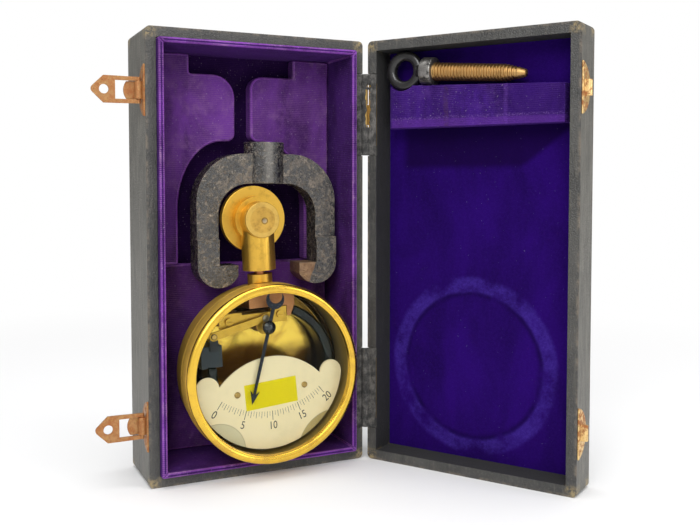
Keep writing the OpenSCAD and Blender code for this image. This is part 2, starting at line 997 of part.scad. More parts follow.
module pointer() {
    barb_at = pointer_len - 8;
    crescent_r = 5.6;
    color(blued_colour)
        on_pointer()
            translate([0, 0, pointer_from])
                linear_extrude(pointer_t)
                    difference() {
                        union() {
                            circle(3.4);
                            polygon([
                                [-1.1, 0], [1.1, 0], [0.8, barb_at + 4], [-0.8, barb_at + 4]
                            ]);
                            polygon([
                                [0, pointer_len], [-2.9, barb_at], [0, barb_at + 3], [2.9, barb_at]
                            ]);
                            translate([-1.1, crescent_r - crescent_at - 0.8])
                                square([2.2, crescent_at - crescent_r - 1.2]);
                            translate([0, -crescent_at])
                                difference() {
                                    circle(crescent_r);
                                    translate([0, -2]) circle(crescent_r - 1.5);
                                }
                        }
                        circle(2);
                    }
}

module pointer_hub() {
    dome_r = 4.2;
    dome_h = 2.1;
    r = (dome_r * dome_r + dome_h * dome_h) / (2 * dome_h);
    color("#23262e")
        on_gauge()
            translate([0, pivot_y, 0]) {
                translate([0, 0, 7.5]) cylinder(r = 2, h = pointer_from + pointer_t - 7.5 + eps);
                translate([0, 0, pointer_from + pointer_t])
                    intersection() {
                        translate([0, 0, dome_h - r]) sphere(r);
                        cylinder(r = dome_r, h = dome_h);
                    }
            }
}

// Stem and flange

collar_to = bezel_r + 4.8;
neck_to = collar_to + 2.4;
disc_front = -stem_at - 4.9;
disc_back = flange_t - disc_front;

// Frame of the stem: Z runs up the stem
module on_stem() {
    on_gauge()
        translate([0, 0, -stem_at])
            rotate([-90, 0, 0])
                children();
}

module stem_collar() {
    color(brass_colour)
        difference() {
            on_stem()
                translate([0, 0, casing_r - 2]) cylinder(r = collar_r, h = collar_to - casing_r + 2);
            on_gauge() {
                translate([0, 0, -30]) cylinder(r = casing_r, h = 60);
                translate([0, 0, skirt_from - 0.2]) cylinder(r = bezel_r + 0.2, h = 60);
            }
        }
}

module stem_neck() {
    color("#4a3a22")
        on_stem() translate([0, 0, collar_to]) cylinder(r = 3, h = neck_to - collar_to);
}

module on_flange() {
    on_gauge() translate([0, flange_y, 0]) children();
}

plug_r = 10.4;
plug_from = 5.9;

module stem_casting() {
    hub_r = 13.5;
    boss_r = 10.75;
    boss_from = 1.2 - stem_at;
    color(brass_colour)
        difference() {
            union() {
                on_stem() translate([0, 0, neck_to]) cylinder(r = stem_r, h = flange_y - neck_to);
                on_flange() {
                    translate([0, 0, disc_front]) cylinder(r = hub_r, h = boss_from - disc_front);
                    translate([0, 0, boss_from - eps]) cylinder(r = boss_r, h = plug_from - boss_from + eps);
                }
            }
            on_flange() {
                port();
                translate([0, 0, plug_from]) cylinder(r = plug_r + 0.1, h = 5);
                translate([0, 0, -disc_back]) cylinder(r = flange_r + 1, h = flange_t);
            }
        }
}

module port() {
    translate([0, 0, -disc_back - 1]) cylinder(r = port_r, h = 1 + disc_back - stem_at + 0.2);
}

module flange_disc() {
    color(brass_colour)
        on_flange()
            difference() {
                translate([0, 0, -disc_back]) cylinder(r = flange_r, h = flange_t);
                port();
            }
}

module stem_plug() {
    plug_t = 1.5;
    color("#caa75a")
        on_flange()
            difference() {
                translate([0, 0, plug_from]) cylinder(r = plug_r, h = plug_t);
                translate([0.9, -0.3, plug_from + plug_t - 0.8]) cylinder(r1 = 0, r2 = 1.5, h = 0.8 + eps);
            }
}

// Clamp

arm_in = clamp_w / 2 - clamp_arm;

// The clamp lies as far right as its right neighbour, a lip board, and its left
// neighbour, the flange disc inside it, both allow.
disc_left_x = gauge_x - flange_y * sin(gauge_tilt) - flange_r;
clamp_x = min(lip_in_x - clamp_side_gap - clamp_w / 2, disc_left_x - clamp_disc_gap + arm_in);
jaw_top_z = 139.6;

crown_corner_r = 18.5;
spring_z = crown_z - crown_corner_r;
yoke_half_w = arm_in - crown_corner_r;

module clamp_outline() {
    outer_r = 29;
    inner_r = crown_corner_r;
    foot = jaw_z;
    difference() {
        union() {
            translate([-clamp_w / 2, foot]) square([clamp_w, shoulder_z - outer_r - foot]);
            translate([outer_r - clamp_w / 2, foot]) square([clamp_w - 2 * outer_r, shoulder_z - foot]);
            for (s = [-1, 1])
                translate([s * (clamp_w / 2 - outer_r), shoulder_z - outer_r]) circle(outer_r);
        }
        translate([-arm_in, foot - 1]) square([2 * arm_in, crown_z - inner_r - foot + 1]);
        translate([inner_r - arm_in, foot - 1]) square([2 * (arm_in - inner_r), crown_z - foot + 1]);
        for (s = [-1, 1])
            translate([s * (arm_in - inner_r), crown_z - inner_r]) circle(inner_r);
    }
}

module clamp_hooks() {
    for (s = [-1, 1])
        intersection() {
            translate([s * arm_in, jaw_z]) circle(hook_r);
            translate([-clamp_w / 2, jaw_z - hook_r]) square([clamp_w, hook_r]);
            translate([s > 0 ? arm_in - hook_reach : -clamp_w / 2, jaw_z - hook_r])
                square([clamp_arm + hook_reach, hook_r]);
        }
}

module clamp_casting() {
    jaw_front = clamp_at - clamp_t / 2 - jaw_step;
    difference() {
        union() {
            slab(clamp_at - clamp_t / 2, clamp_at + clamp_t / 2) clamp_outline();
            slab(jaw_front, clamp_at + clamp_t / 2) {
                clamp_hooks();
                for (s = [-1, 1])
                    translate([s > 0 ? arm_in : -clamp_w / 2, jaw_z])
                        square([clamp_arm, jaw_top_z - jaw_z]);
            }
            translate([0, rim_y + clamp_at, crown_z + 0.5])
                cylinder(r = boss_r, h = boss_top_z - crown_z - 0.5);
        }
        translate([0, rim_y + clamp_at, crown_z - 1])
            cylinder(r = clamp_hole_r, h = boss_top_z - crown_z + 2);
    }
}

// The casting is cut at its corners so that each cut piece has a simple form.
// from_x and to_x count from the clamp's middle.
module clamp_cut(from_x, to_x, from_z, to_z) {
    color(iron_colour)
        translate([clamp_x, 0, 0])
            intersection() {
                clamp_casting();
                translate([min(from_x, to_x), rim_y, from_z])
                    cube([abs(to_x - from_x), base_depth, to_z - from_z]);
            }
}

clamp_far = clamp_w / 2 + 1;
module clamp_yoke() clamp_cut(-yoke_half_w, yoke_half_w, spring_z, boss_top_z + 1);
module clamp_shoulder_left() clamp_cut(-clamp_far, -yoke_half_w, spring_z, boss_top_z + 1);
module clamp_shoulder_right() clamp_cut(yoke_half_w, clamp_far, spring_z, boss_top_z + 1);
module clamp_arm_left() clamp_cut(-clamp_far, 0, jaw_z - hook_r - 1, spring_z);
module clamp_arm_right() clamp_cut(0, clamp_far, jaw_z - hook_r - 1, spring_z);

// Eye screw

module screw_eye() {
    edge = 1.6;
    color("#1c1b1a")
        on_screw()
            difference() {
                union() {
                    rotate([90, 0, 0])
                        rotate_extrude()
                            polygon([
                                [eye_hole_r, -eye_t / 2 + edge], [eye_hole_r + edge, -eye_t / 2],
                                [eye_r - edge, -eye_t / 2], [eye_r, -eye_t / 2 + edge],
                                [eye_r, eye_t / 2 - edge], [eye_r - edge, eye_t / 2],
                                [eye_hole_r + edge, eye_t / 2], [eye_hole_r, eye_t / 2 - edge]
                            ]);
                    translate([eye_r - 2, 0, 0]) rotate([0, 90, 0])
                        cylinder(r = 4.5, h = screw_collar_at - eye_r + 2);
                }
                rotate([90, 0, 0]) cylinder(r = eye_hole_r, h = eye_t + 2, center = true);
            }
}

module screw_collar() {
    color("#1c1b1a")
        on_screw()
            translate([screw_collar_at, 0, 0]) rotate([0, 90, 0])
                cylinder(r = screw_collar_r, h = screw_collar_len);
}

module screw_shank() {
    point = 5;
    color(brass_colour)
        on_screw()
            translate([screw_collar_end, 0, 0]) rotate([0, 90, 0]) {
                cylinder(r = shank_r, h = shank_len - point);
                translate([0, 0, shank_len - point]) cylinder(r1 = shank_r, r2 = 1, h = point);
            }
}

base_walls();
base_panel();
base_floor_velvet();
lip_boards();
recess_board_left();
recess_board_right();
lower_board();
gauge_rest();
hinge_leaves_base();
hinge_pins();
hinge_straps();
hasp_plates();
lid_walls();
lid_panel();
lid_velvet();
lid_bar();
hinge_leaves_lid();
catch_plates();
upper_hasp();
lower_hasp();
casing();
bezel();
glass();
casing_screw();
dial();
dial_label();
dial_posts();
dial_screws();
socket_block();
bourdon_tube();
movement_plate_front();
movement_plate_back();
movement_pillars();
movement_screws();
stem_collar();
stem_neck();
stem_casting();
flange_disc();
stem_plug();
tube_tip_block();
tube_tip_lug();
link_bar();
pointer_arbor();
pointer();
pointer_hub();
clamp_yoke();
clamp_shoulder_left();
clamp_shoulder_right();
clamp_arm_left();
clamp_arm_right();
screw_eye();
screw_collar();
screw_shank();
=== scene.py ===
"""Looks of a standard pressure gauge in its open velvet-lined case.

The CAD frame gives every place. This file dresses it: leathercloth boards with
worn edges, velvet, an engraved dial, a threaded screw, and studio light.
"""

import json
import math

import bmesh
import bpy
import numpy as np
from bpy.props import FloatProperty, FloatVectorProperty, PointerProperty
from mathutils import Matrix, Vector


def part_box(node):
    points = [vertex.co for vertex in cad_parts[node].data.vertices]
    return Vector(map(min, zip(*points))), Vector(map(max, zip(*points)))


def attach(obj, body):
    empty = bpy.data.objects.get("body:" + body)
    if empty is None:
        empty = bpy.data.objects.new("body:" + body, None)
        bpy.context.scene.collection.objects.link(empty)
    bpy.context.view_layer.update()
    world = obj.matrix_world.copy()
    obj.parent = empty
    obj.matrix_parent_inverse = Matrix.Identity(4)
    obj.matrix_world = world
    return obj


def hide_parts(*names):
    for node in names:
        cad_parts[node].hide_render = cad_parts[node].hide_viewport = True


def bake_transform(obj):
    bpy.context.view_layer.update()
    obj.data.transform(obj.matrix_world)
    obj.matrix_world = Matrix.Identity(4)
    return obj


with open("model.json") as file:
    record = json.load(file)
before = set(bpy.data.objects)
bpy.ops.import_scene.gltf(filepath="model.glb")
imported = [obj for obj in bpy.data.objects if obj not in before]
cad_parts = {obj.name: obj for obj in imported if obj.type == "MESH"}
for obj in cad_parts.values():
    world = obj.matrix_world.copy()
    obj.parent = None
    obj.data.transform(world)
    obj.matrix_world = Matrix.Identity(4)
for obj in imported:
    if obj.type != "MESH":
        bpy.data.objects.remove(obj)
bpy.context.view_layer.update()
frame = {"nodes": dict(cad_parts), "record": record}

bl_info = {
    "name": "Gauge in fitted case",
    "version": (1, 0, 0),
    "blender": (4, 5, 0),
    "location": "View3D > Sidebar > Gauge",
    "description": "Builds the looks of a pressure gauge, its clamp and its velvet-lined case",
    "category": "Object",
}

MM = 0.001
TURN = 2 * math.pi

# Places shared with the frame
WALLS_LOW, WALLS_HIGH = (np.array(p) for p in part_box("base_walls"))
CASE_W = WALLS_HIGH[0] - WALLS_LOW[0]
CASE_H = WALLS_HIGH[2] - WALLS_LOW[2]
BASE_BACK = WALLS_HIGH[1]
RIM_Y = WALLS_LOW[1] - 0.15 * MM
WALL_T = 6 * MM
HINGE_OFF = 1.75 * MM
HINGE_X = CASE_W / 2 + HINGE_OFF
LID_DEPTH = 22.5 * MM
LID_FLOOR = 17.5 * MM
LID_PANEL_T = 4 * MM
LID_OPEN = math.radians(122)
BAR_LOW_Z = float(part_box("lid_bar")[0][2])
GAUGE_TILT = math.radians(3)
GAUGE_CENTRE = Vector((3.25 * MM, RIM_Y, 62.1 * MM))
PIVOT_Y = 26.4 * MM
DIAL_FACE = 6.4 * MM
PLUG_Y = 89.5 * MM
SCREW_SLOPE = math.radians(4.5)
EYE = Vector((23.6 * MM, 8.6 * MM, CASE_H - 18.8 * MM))


def case_place():
    """Base frame: X right, Y depth behind the rim, Z up."""
    return Matrix.Translation((0, RIM_Y, 0))


def lid_place():
    """Lid frame: X from the hinge axis to the free side, Y depth, Z up."""
    return Matrix.Translation((HINGE_X, RIM_Y, 0)) @ Matrix.Rotation(LID_OPEN - math.pi, 4, "Z")


def gauge_place():
    """Gauge frame: X right, Y up the stem, Z out of the dial."""
    lean = Matrix.Rotation(-GAUGE_TILT, 4, "Y")
    return Matrix.Translation(GAUGE_CENTRE) @ lean @ Matrix.Rotation(math.pi / 2, 4, "X")


def screw_place():
    """Screw frame: X from the ring to the point, Y depth, Z up."""
    return lid_place() @ Matrix.Translation(EYE) @ Matrix.Rotation(SCREW_SLOPE, 4, "Y")


def length_property(label, words, size):
    return FloatProperty(name=label, description=words, default=size, unit="LENGTH")


def colour_property(label, words, rgb):
    return FloatVectorProperty(
        name=label, description=words, default=rgb, size=3, subtype="COLOR", min=0, max=1
    )


class GaugeSizes(bpy.types.PropertyGroup):
    """Sizes of the details that the scene adds."""

    board_edge: length_property("Board edge", "Rounding of the covered boards", 0.9 * MM)
    velvet_edge: length_property("Velvet edge", "Rounding of the velvet-covered boards", 1.4 * MM)
    iron_edge: length_property("Iron edge", "Rounding of the clamp's edges", 1.1 * MM)
    thread_pitch: length_property("Thread pitch", "Distance between two turns of the thread", 2.1 * MM)
    thread_depth: length_property("Thread depth", "Depth of the screw's thread", 0.9 * MM)
    nap_hollow: length_property("Nap hollow", "Depth of the ring in the lid's velvet", 0.25 * MM)
    numeral_h: length_property("Numeral height", "Height of the numbers on the dial", 4.6 * MM)


class GaugeColours(bpy.types.PropertyGroup):
    """Colours of the finishes."""

    cloth: colour_property("Leathercloth", "Black covering of the case", (0.040, 0.039, 0.035))
    cloth_worn: colour_property("Worn leathercloth", "Covering that hands rubbed", (0.17, 0.14, 0.105))
    velvet: colour_property("Purple velvet", "Velvet of the base", (0.085, 0.022, 0.165))
    velvet_worn: colour_property("Worn velvet", "Velvet on the boards' edges", (0.23, 0.11, 0.27))
    lid_velvet: colour_property("Violet velvet", "Velvet of the lid", (0.016, 0.0013, 0.105))
    gilt: colour_property("Gilt brass", "Lacquered casing and bezel", (0.82, 0.52, 0.065))
    brass: colour_property("Aged brass", "Stem, flange and movement", (0.66, 0.395, 0.060))
    brass_dark: colour_property("Brown brass", "Stains on old brass", (0.17, 0.085, 0.020))
    iron: colour_property("Black iron", "Paint of the clamp", (0.034, 0.031, 0.027))
    iron_worn: colour_property("Worn iron", "Edges of the clamp", (0.34, 0.28, 0.215))
    rust: colour_property("Rust", "Rust of hasps and plates", (0.33, 0.115, 0.028))
    dial: colour_property("Dial", "Cream of the dial", (1.0, 0.83, 0.53))
    label: colour_property("Label", "Paper stuck on the dial", (0.86, 0.69, 0.001))


def sizes():
    return bpy.context.scene.gauge_sizes


def tones():
    return bpy.context.scene.gauge_colours


# Shader maths as Python expressions


class Wire:
    """A socket that takes part in arithmetic: each operator adds a Math node."""

    def __init__(self, net, socket):
        self.net = net
        self.socket = socket

    def _math(self, operation, first, second=0.0):
        return self.net.node("ShaderNodeMath", {"operation": operation}, {0: first, 1: second})

    def __add__(self, other):
        return self._math("ADD", self, other)

    def __radd__(self, other):
        return self._math("ADD", other, self)

    def __sub__(self, other):
        return self._math("SUBTRACT", self, other)

    def __rsub__(self, other):
        return self._math("SUBTRACT", other, self)

    def __mul__(self, other):
        return self._math("MULTIPLY", self, other)

    def __rmul__(self, other):
        return self._math("MULTIPLY", other, self)

    def __abs__(self):
        return self._math("ABSOLUTE", self)

    def __pow__(self, other):
        return self._math("POWER", self, other)

    def least(self, other):
        return self._math("MINIMUM", self, other)

    def most(self, other):
        return self._math("MAXIMUM", self, other)

    def sine(self):
        return self._math("SINE", self)

    def step(self, low, high):
        """0 below low, 1 above high and a smooth rise between them."""
        return self.net.node(
            "ShaderNodeMapRange",
            {"interpolation_type": "SMOOTHSTEP"},
            {"Value": self, "From Min": low, "From Max": high},
        )

    def fall(self, low, high):
        """1 below low, 0 above high and a smooth fall between them."""
        return 1 - self.step(low, high)

    def between(self, start, full, fading, gone):
        """1 from full to fading, 0 before start and after gone, smooth in between."""
        return self.step(start, full) * self.fall(fading, gone)

    def near(self, value, inner, outer):
        """1 within the inner distance of a value, 0 beyond the outer one."""
        return abs(self - value).fall(inner, outer)


def far(x, y, middle=(0.0, 0.0)):
    """Distance from a middle in a plane."""
    return ((x - middle[0]) ** 2.0 + (y - middle[1]) ** 2.0) ** 0.5


def tinted(colour, *by):
    """A colour times one number, or times a number for each of its three parts."""
    return [v * m for v, m in zip(colour, by * 3)]


class Net:
    """A tree of shader nodes."""

    def __init__(self, tree):
        self.tree = tree

    def node(self, kind, settings=None, sockets=None, output=0):
        made = self.tree.nodes.new(kind)
        for key, value in (settings or {}).items():
            setattr(made, key, value)
        for key, value in (sockets or {}).items():
            self.feed(made.inputs[key], value)
        return Wire(self, made.outputs[output])

    def feed(self, socket, value):
        if isinstance(value, Wire):
            self.tree.links.new(value.socket, socket)
        elif hasattr(value, "__len__") and socket.type == "RGBA":
            socket.default_value = (*value[:3], 1)
        else:
            socket.default_value = value

    def rays(self, *kinds):
        """One wire for each kind of ray, 1 where a ray is of that kind."""
        outputs = self.node("ShaderNodeLightPath").socket.node.outputs
        return [Wire(self, outputs[f"Is {kind} Ray"]) for kind in kinds]


class Look(Net):
    """One material, with the few kinds of node that the finishes use."""

    def __init__(self, name):
        self.material = bpy.data.materials.new(name)
        self.material.use_nodes = True
        super().__init__(self.material.node_tree)
        self.bsdf = self.tree.nodes["Principled BSDF"]

    def place(self, matrix=None):
        """Object coordinates, turned into a piece's own frame by a Mapping node."""
        here = self.node("ShaderNodeTexCoord", output=3)
        if matrix is None:
            return here
        back = matrix.inverted()
        turn = {"Location": back.to_translation(), "Rotation": back.to_euler()}
        return self.node("ShaderNodeMapping", {"vector_type": "POINT"}, {"Vector": here, **turn})

    def axes(self, matrix=None):
        """The place in a piece's own frame, first whole and then as three numbers."""
        spot = self.place(matrix)
        outputs = self.node("ShaderNodeSeparateXYZ", sockets={"Vector": spot}).socket.node.outputs
        return (spot, *(Wire(self, outputs[i]) for i in range(3)))

    def join(self, x, y, z):
        return self.node("ShaderNodeCombineXYZ", sockets={"X": x, "Y": y, "Z": z})

    def noise(self, vector, size, detail=3.0, rough=0.55, bend=0.0):
        """Noise with lumps of about the given size in metres."""
        return self.node(
            "ShaderNodeTexNoise",
            {"noise_dimensions": "3D"},
            {"Vector": vector, "Scale": 1 / size, "Detail": detail, "Roughness": rough, "Distortion": bend},
        )

    def cells(self, vector, size):
        return self.node("ShaderNodeTexVoronoi", {"feature": "F1"}, {"Vector": vector, "Scale": 1 / size})

    def mix(self, amount, first, second):
        return self.node(
            "ShaderNodeMix",
            {"data_type": "RGBA", "clamp_factor": True},
            {0: amount, 6: first, 7: second},
            output=2,
        )

    def coats(self, base, *coats):
        """Lays colours over a base one after another, each through its own mask."""
        for amount, colour in coats:
            base = self.mix(amount, base, colour)
        return base

    def colour_so_far(self):
        return Wire(self, self.bsdf.inputs["Base Color"].links[0].from_socket)

    def bump(self, height, strength, distance):
        return self.node(
            "ShaderNodeBump", sockets={"Height": height, "Strength": strength, "Distance": distance}
        )

    def surface(self, shader):
        self.tree.links.new(shader.socket, self.tree.nodes["Material Output"].inputs["Surface"])

    def finish(self, **sockets):
        for key, value in sockets.items():
            self.feed(self.bsdf.inputs[key.replace("_", " ")], value)
        return self.material


MADE = {}


def finish_of(make):
    """Makes a material once, under its recipe's name, and gives it again to the next piece."""
    name = make.__name__
    if name not in MADE:
        MADE[name] = make(Look(name))
    return MADE[name]


# Recipes of the materials


def leathercloth(look, matrix, low, high):
    """Pebbled black cloth. The rub mask grows where two of the box's faces meet."""
    spot, x, y, z = look.axes(matrix)
    a, b, c = (
        (most - least) / 2 - abs(value - (least + most) / 2)
        for value, least, most in zip((x, y, z), low, high)
    )
    # The second smallest distance to a face is the distance to the nearest edge
    edge = a.most(b).least(b.most(c)).least(a.most(c))
    rub = edge.fall(0.15 * MM, 2.2 * MM) * look.noise(spot, 7 * MM, 5, 0.7).step(0.42, 0.62)
    tip = a.most(b).most(c).least(a + b + c)
    corner = tip.fall(3 * MM, 8 * MM) * look.noise(spot, 2.5 * MM, 5, 0.7).step(0.40, 0.60)
    mottle = look.noise(spot, 24 * MM, 5, 0.65)
    grain = look.cells(spot, 0.9 * MM)
    fine = look.noise(spot, 0.45 * MM, 2)
    drawn = look.noise(look.join(x, y, z * 0.12), 2.6 * MM, 5, 0.75)
    chafe = drawn.step(0.52, 0.72)
    dust = look.noise(spot, 1.5 * MM, 5, 0.8).step(0.54, 0.70)
    nick = look.noise(spot, 3.2 * MM, 6, 0.85).step(0.66, 0.72)
    rim = y.fall(0.2 * MM, 1.0 * MM)
    inner = a.least(c).step(5.2 * MM, 5.8 * MM) * (1 - rim) * y.fall(high[1] - 3 * MM, high[1] - 2 * MM)
    cloth = tones().cloth
    # Painted light: the outer sides are made lighter than the black cloth
    lit_outer_sides = look.mix(drawn.step(0.35, 0.65), (0.105, 0.100, 0.085), (0.215, 0.205, 0.175))
    base = look.coats(
        look.mix(mottle.step(0.3, 0.72), tinted(cloth, 0.55), tinted(cloth, 1.8)),
        (chafe * 0.45, (0.17, 0.155, 0.125)),
        (dust * 0.30, (0.24, 0.225, 0.19)),
        (drawn.fall(0.28, 0.42) * 0.7, (0.012, 0.012, 0.011)),
        # Painted light on the outer sides and painted shade on the front rim faces
        ((1 - rim) * 0.55, lit_outer_sides),
        (rim * 0.30, (0.020, 0.020, 0.020)),
        (inner * 0.94, (0.004, 0.004, 0.004)),
        (nick * 0.5, (0.40, 0.37, 0.31)),
        (rub * 0.75, tones().cloth_worn),
        (corner * 0.7, (0.36, 0.27, 0.12)),
    )
    return look.finish(
        Base_Color=base,
        Roughness=0.38 + mottle * 0.25 + rub * 0.15 + inner * 0.3,
        Normal=look.bump(grain + fine * 0.5 + chafe * 0.6 + dust * 0.4, 0.8, 0.32 * MM),
        Specular_IOR_Level=0.7,
    )


def base_cloth(look):
    high = (CASE_W / 2, BASE_BACK - RIM_Y, CASE_H)
    return leathercloth(look, case_place(), (-CASE_W / 2, 0, 0), high)


def lid_cloth(look):
    high = (HINGE_OFF + CASE_W, LID_DEPTH, CASE_H)
    return leathercloth(look, lid_place(), (HINGE_OFF, 0, 0), high)


def rubbed_cloth(look):
    spot = look.place()
    patch = look.noise(spot, 4 * MM, 5, 0.7).step(0.35, 0.7)
    return look.finish(
        Base_Color=look.mix(patch, tinted(tones().cloth, 1.6), tones().cloth_worn),
        Roughness=0.5 + patch * 0.2,
        Normal=look.bump(look.noise(spot, 0.8 * MM), 0.4, 0.2 * MM),
    )


def velvet(look, colour, worn, matrix, streak, wear=0.45, shine=0.35):
    """Velvet: short pile in fine level rows that goes lighter where it is brushed aside."""
    spot, x, y, z = look.axes(matrix)
    brushed = look.noise(look.join(x, y, z * streak), 26 * MM, 4, 0.6, 0.6)
    blotch = look.noise(spot, 9 * MM, 5, 0.7)
    rows = (z * (TURN / (1.15 * MM)) + brushed * 5.0).sine()
    pile = look.noise(spot, 0.6 * MM, 3, 0.8)
    bald = look.noise(spot, 2.6 * MM, 5, 0.75).step(0.60, 0.74)
    lint = look.noise(spot, 1.1 * MM, 3, 0.5).step(0.66, 0.74)
    ribbed = look.noise(spot, 22 * MM, 3, 0.5).step(0.42, 0.62)
    base = look.coats(
        look.mix(brushed.step(0.30, 0.68), tinted(colour, 0.45), tinted(colour, 1.55)),
        (blotch.step(0.48, 0.75) * wear, worn),
        (bald * wear * 0.8, worn),
        (pile.step(0.4, 0.75) * 0.32 + rows.step(0.1, 1.0) * (0.08 + ribbed * 0.28), worn),
        (lint * 0.4, (0.40, 0.32, 0.42)),
    )
    return look.finish(
        Base_Color=base,
        Roughness=0.9,
        Specular_IOR_Level=0.06,
        Sheen_Weight=shine,
        Sheen_Roughness=0.4,
        Sheen_Tint=[min(1, v * 3.0 + 0.02) for v in colour],
        Normal=look.bump(pile + brushed * 0.6 + rows * 0.25, 0.7, 0.35 * MM),
    )


def base_velvet(look):
    """Faded velvet of the fitted boards, with painted shade over the left of the case and a deeper painted
    shadow low on the left beside the gauge.
    """
    velvet(look, tinted(tones().velvet, 1.12), tones().velvet_worn, case_place(), 0.4)
    spot, x, y, z = look.axes(case_place())
    # Painted shade over the left boards, deeper low down where the gauge shades them
    left = x.fall(-58 * MM, -30 * MM)
    base = look.coats(
        look.colour_so_far(),
        (left * 0.55, (0.022, 0.006, 0.036)),
        (left * z.fall(70 * MM, 118 * MM) * 0.6, (0.006, 0.002, 0.010)),
    )
    return look.finish(Base_Color=base)


def edge_velvet(look):
    colour = tinted(tones().velvet, 1.5, 1.25, 1.45)
    return velvet(look, colour, (0.36, 0.20, 0.38), case_place(), 0.6, 0.6)


def lip_velvet(look):
    # Painted shade: the lip's inner faces take a darker copy of the base velvet
    colour = tinted(tones().velvet, 0.42, 0.40, 0.50)
    return velvet(look, colour, (0.085, 0.030, 0.17), case_place(), 0.6, 0.4)


def deep_velvet(look):
    """Velvet at the bottom of the recess, made dark as painted shade."""
    return velvet(look, (0.011, 0.002, 0.030), (0.032, 0.011, 0.060), case_place(), 0.5, 0.35, 0.06)


BAR_STRIP_Z = BAR_LOW_Z + 5.2 * MM
BAR_CREASE_U = 91.5 * MM
BAR_WORN_U = 54 * MM


def bar_velvet(look):
    """Violet velvet of the bar: painted light on its lower and hinge-side bevels, a worn light line along
    their edge and rubbed light at the crease.
    """
    velvet(look, tinted(tones().lid_velvet, 1.9, 5.0, 1.2), (0.10, 0.04, 0.22), lid_place(), 0.5, 0.35)
    spot, u, depth, z = look.axes(lid_place())
    wobble = (look.noise(spot, 6 * MM, 4, 0.7) - 0.5) * (2.4 * MM)
    front = depth.fall(11 * MM, 12 * MM)
    # Painted light on the bar's lower bevel and, through the end mask, on its hinge-side bevel
    lit_bevel_strip = (z + wobble * 0.15 + u * 0.008).fall(BAR_STRIP_Z - 0.9 * MM, BAR_STRIP_Z + 0.5 * MM)
    end = (u + wobble * 0.3).fall(13.2 * MM, 14.0 * MM)
    by_strip = (z + wobble * 0.5).near(BAR_STRIP_Z, 0.2 * MM, 1.3 * MM)
    by_crease = (u + wobble * 0.6).near(BAR_CREASE_U, 0.3 * MM, 1.9 * MM)
    patchy = look.noise(spot, 2.0 * MM, 4, 0.7).step(0.35, 0.6)
    worn = (u + wobble).near(BAR_WORN_U, 0.6 * MM, 2.4 * MM) * patchy
    fluff = look.noise(spot, 0.8 * MM, 3, 0.8).step(0.45, 0.7)
    base = look.coats(
        look.colour_so_far(),
        (u.step(BAR_CREASE_U, BAR_CREASE_U + 2 * MM) * 0.45, (0.020, 0.004, 0.085)),
        (lit_bevel_strip.most(end) * front * (0.32 + fluff * 0.25), (0.125, 0.036, 0.30)),
        (by_strip * fluff * 0.45, (0.26, 0.13, 0.44)),
        (by_crease * (0.15 + fluff * 0.30), (0.14, 0.05, 0.34)),
        (worn * 0.45, (0.060, 0.028, 0.040)),
    )
    return look.finish(Base_Color=base)


def bar_edge_velvet(look):
    return velvet(look, (0.06, 0.018, 0.21), (0.17, 0.09, 0.33), lid_place(), 0.6, 0.5)


# The ring that the bezel pressed into the lid's velvet
RING = (65 * MM, 62.5 * MM)
RING_R = 50.5 * MM
RING_INNER = 44.5 * MM
RING_OUTER = 54.5 * MM


def lid_floor_velvet(look):
    """Violet velvet with the ring that the bezel pressed into its pile."""
    spot, u, depth, z = look.axes(lid_place())
    wobble = look.noise(spot, 12 * MM, 3) * (2.4 * MM)
    away = far(u, z, RING) + wobble
    away_less = far(u, z, RING) + wobble * 0.5
    broken = look.noise(spot, 15 * MM, 4, 0.6).step(0.3, 0.62)
    inner_end = RING_INNER + 2.5 * MM
    ring = away.between(RING_INNER, inner_end, RING_OUTER - 1.5 * MM, RING_OUTER + 2 * MM)
    dark_ring = away_less.between(RING_INNER - 3 * MM, RING_INNER, RING_INNER, inner_end)
    pile = look.noise(spot, 0.55 * MM, 3, 0.8)
    brushed = look.noise(look.join(u, depth, z * 0.45), 30 * MM, 4, 0.6, 0.5)
    lint = look.noise(spot, 1.0 * MM, 2, 0.5).step(0.75, 0.8)
    hair = look.noise(spot, 1.6 * MM, 4, 0.8).step(0.40, 0.66)
    # Painted shadow of the bar: a slanted patch under it is darker
    bar_shadow = z.between(BAR_LOW_Z - 27 * MM, BAR_LOW_Z - 21 * MM, BAR_LOW_Z, BAR_LOW_Z + 1 * MM)
    slanted = u.step(15 * MM, 23 * MM) * (u - (z - BAR_LOW_Z) * 1.3).fall(124 * MM, 131 * MM)
    colour = tones().lid_velvet
    base = look.coats(
        look.mix(brushed.step(0.25, 0.75), tinted(colour, 0.55), tinted(colour, 1.15)),
        (pile.step(0.4, 0.8) * 0.20, (0.036, 0.008, 0.20)),
        (hair * 0.16, (0.040, 0.010, 0.21)),
        (bar_shadow * slanted * 0.75, (0.006, 0.0005, 0.028)),
        (ring * broken * (0.45 + hair * 0.35), (0.050, 0.022, 0.26)),
        (dark_ring * broken * 0.7, (0.006, 0.001, 0.040)),
        (lint * 0.4, (0.30, 0.26, 0.45)),
    )
    return look.finish(
        Base_Color=base,
        Roughness=0.9,
        Specular_IOR_Level=0.05,
        Sheen_Weight=0.08,
        Sheen_Roughness=0.4,
        Sheen_Tint=(0.10, 0.02, 0.55),
        Normal=look.bump(pile + brushed * 0.5, 0.6, 0.35 * MM),
    )


def strap_cloth(look):
    """Black book cloth with a plain weave and grey rubbed threads."""
    spot, x, y, z = look.axes()
    weave = (x * (TURN / (0.7 * MM))).sine() * (z * (TURN / (0.7 * MM))).sine()
    rubbed = look.noise(spot, 5 * MM, 6, 0.75).step(0.40, 0.68)
    threads = look.noise(look.join(x, y, z * 0.3), 0.9 * MM, 4, 0.8).step(0.48, 0.66)
    return look.finish(
        Base_Color=look.mix(rubbed * 0.7 + threads * 0.3, (0.030, 0.030, 0.029), (0.20, 0.19, 0.175)),
        Roughness=0.8,
        Normal=look.bump(weave * 0.5 + threads + rubbed, 0.7, 0.25 * MM),
    )


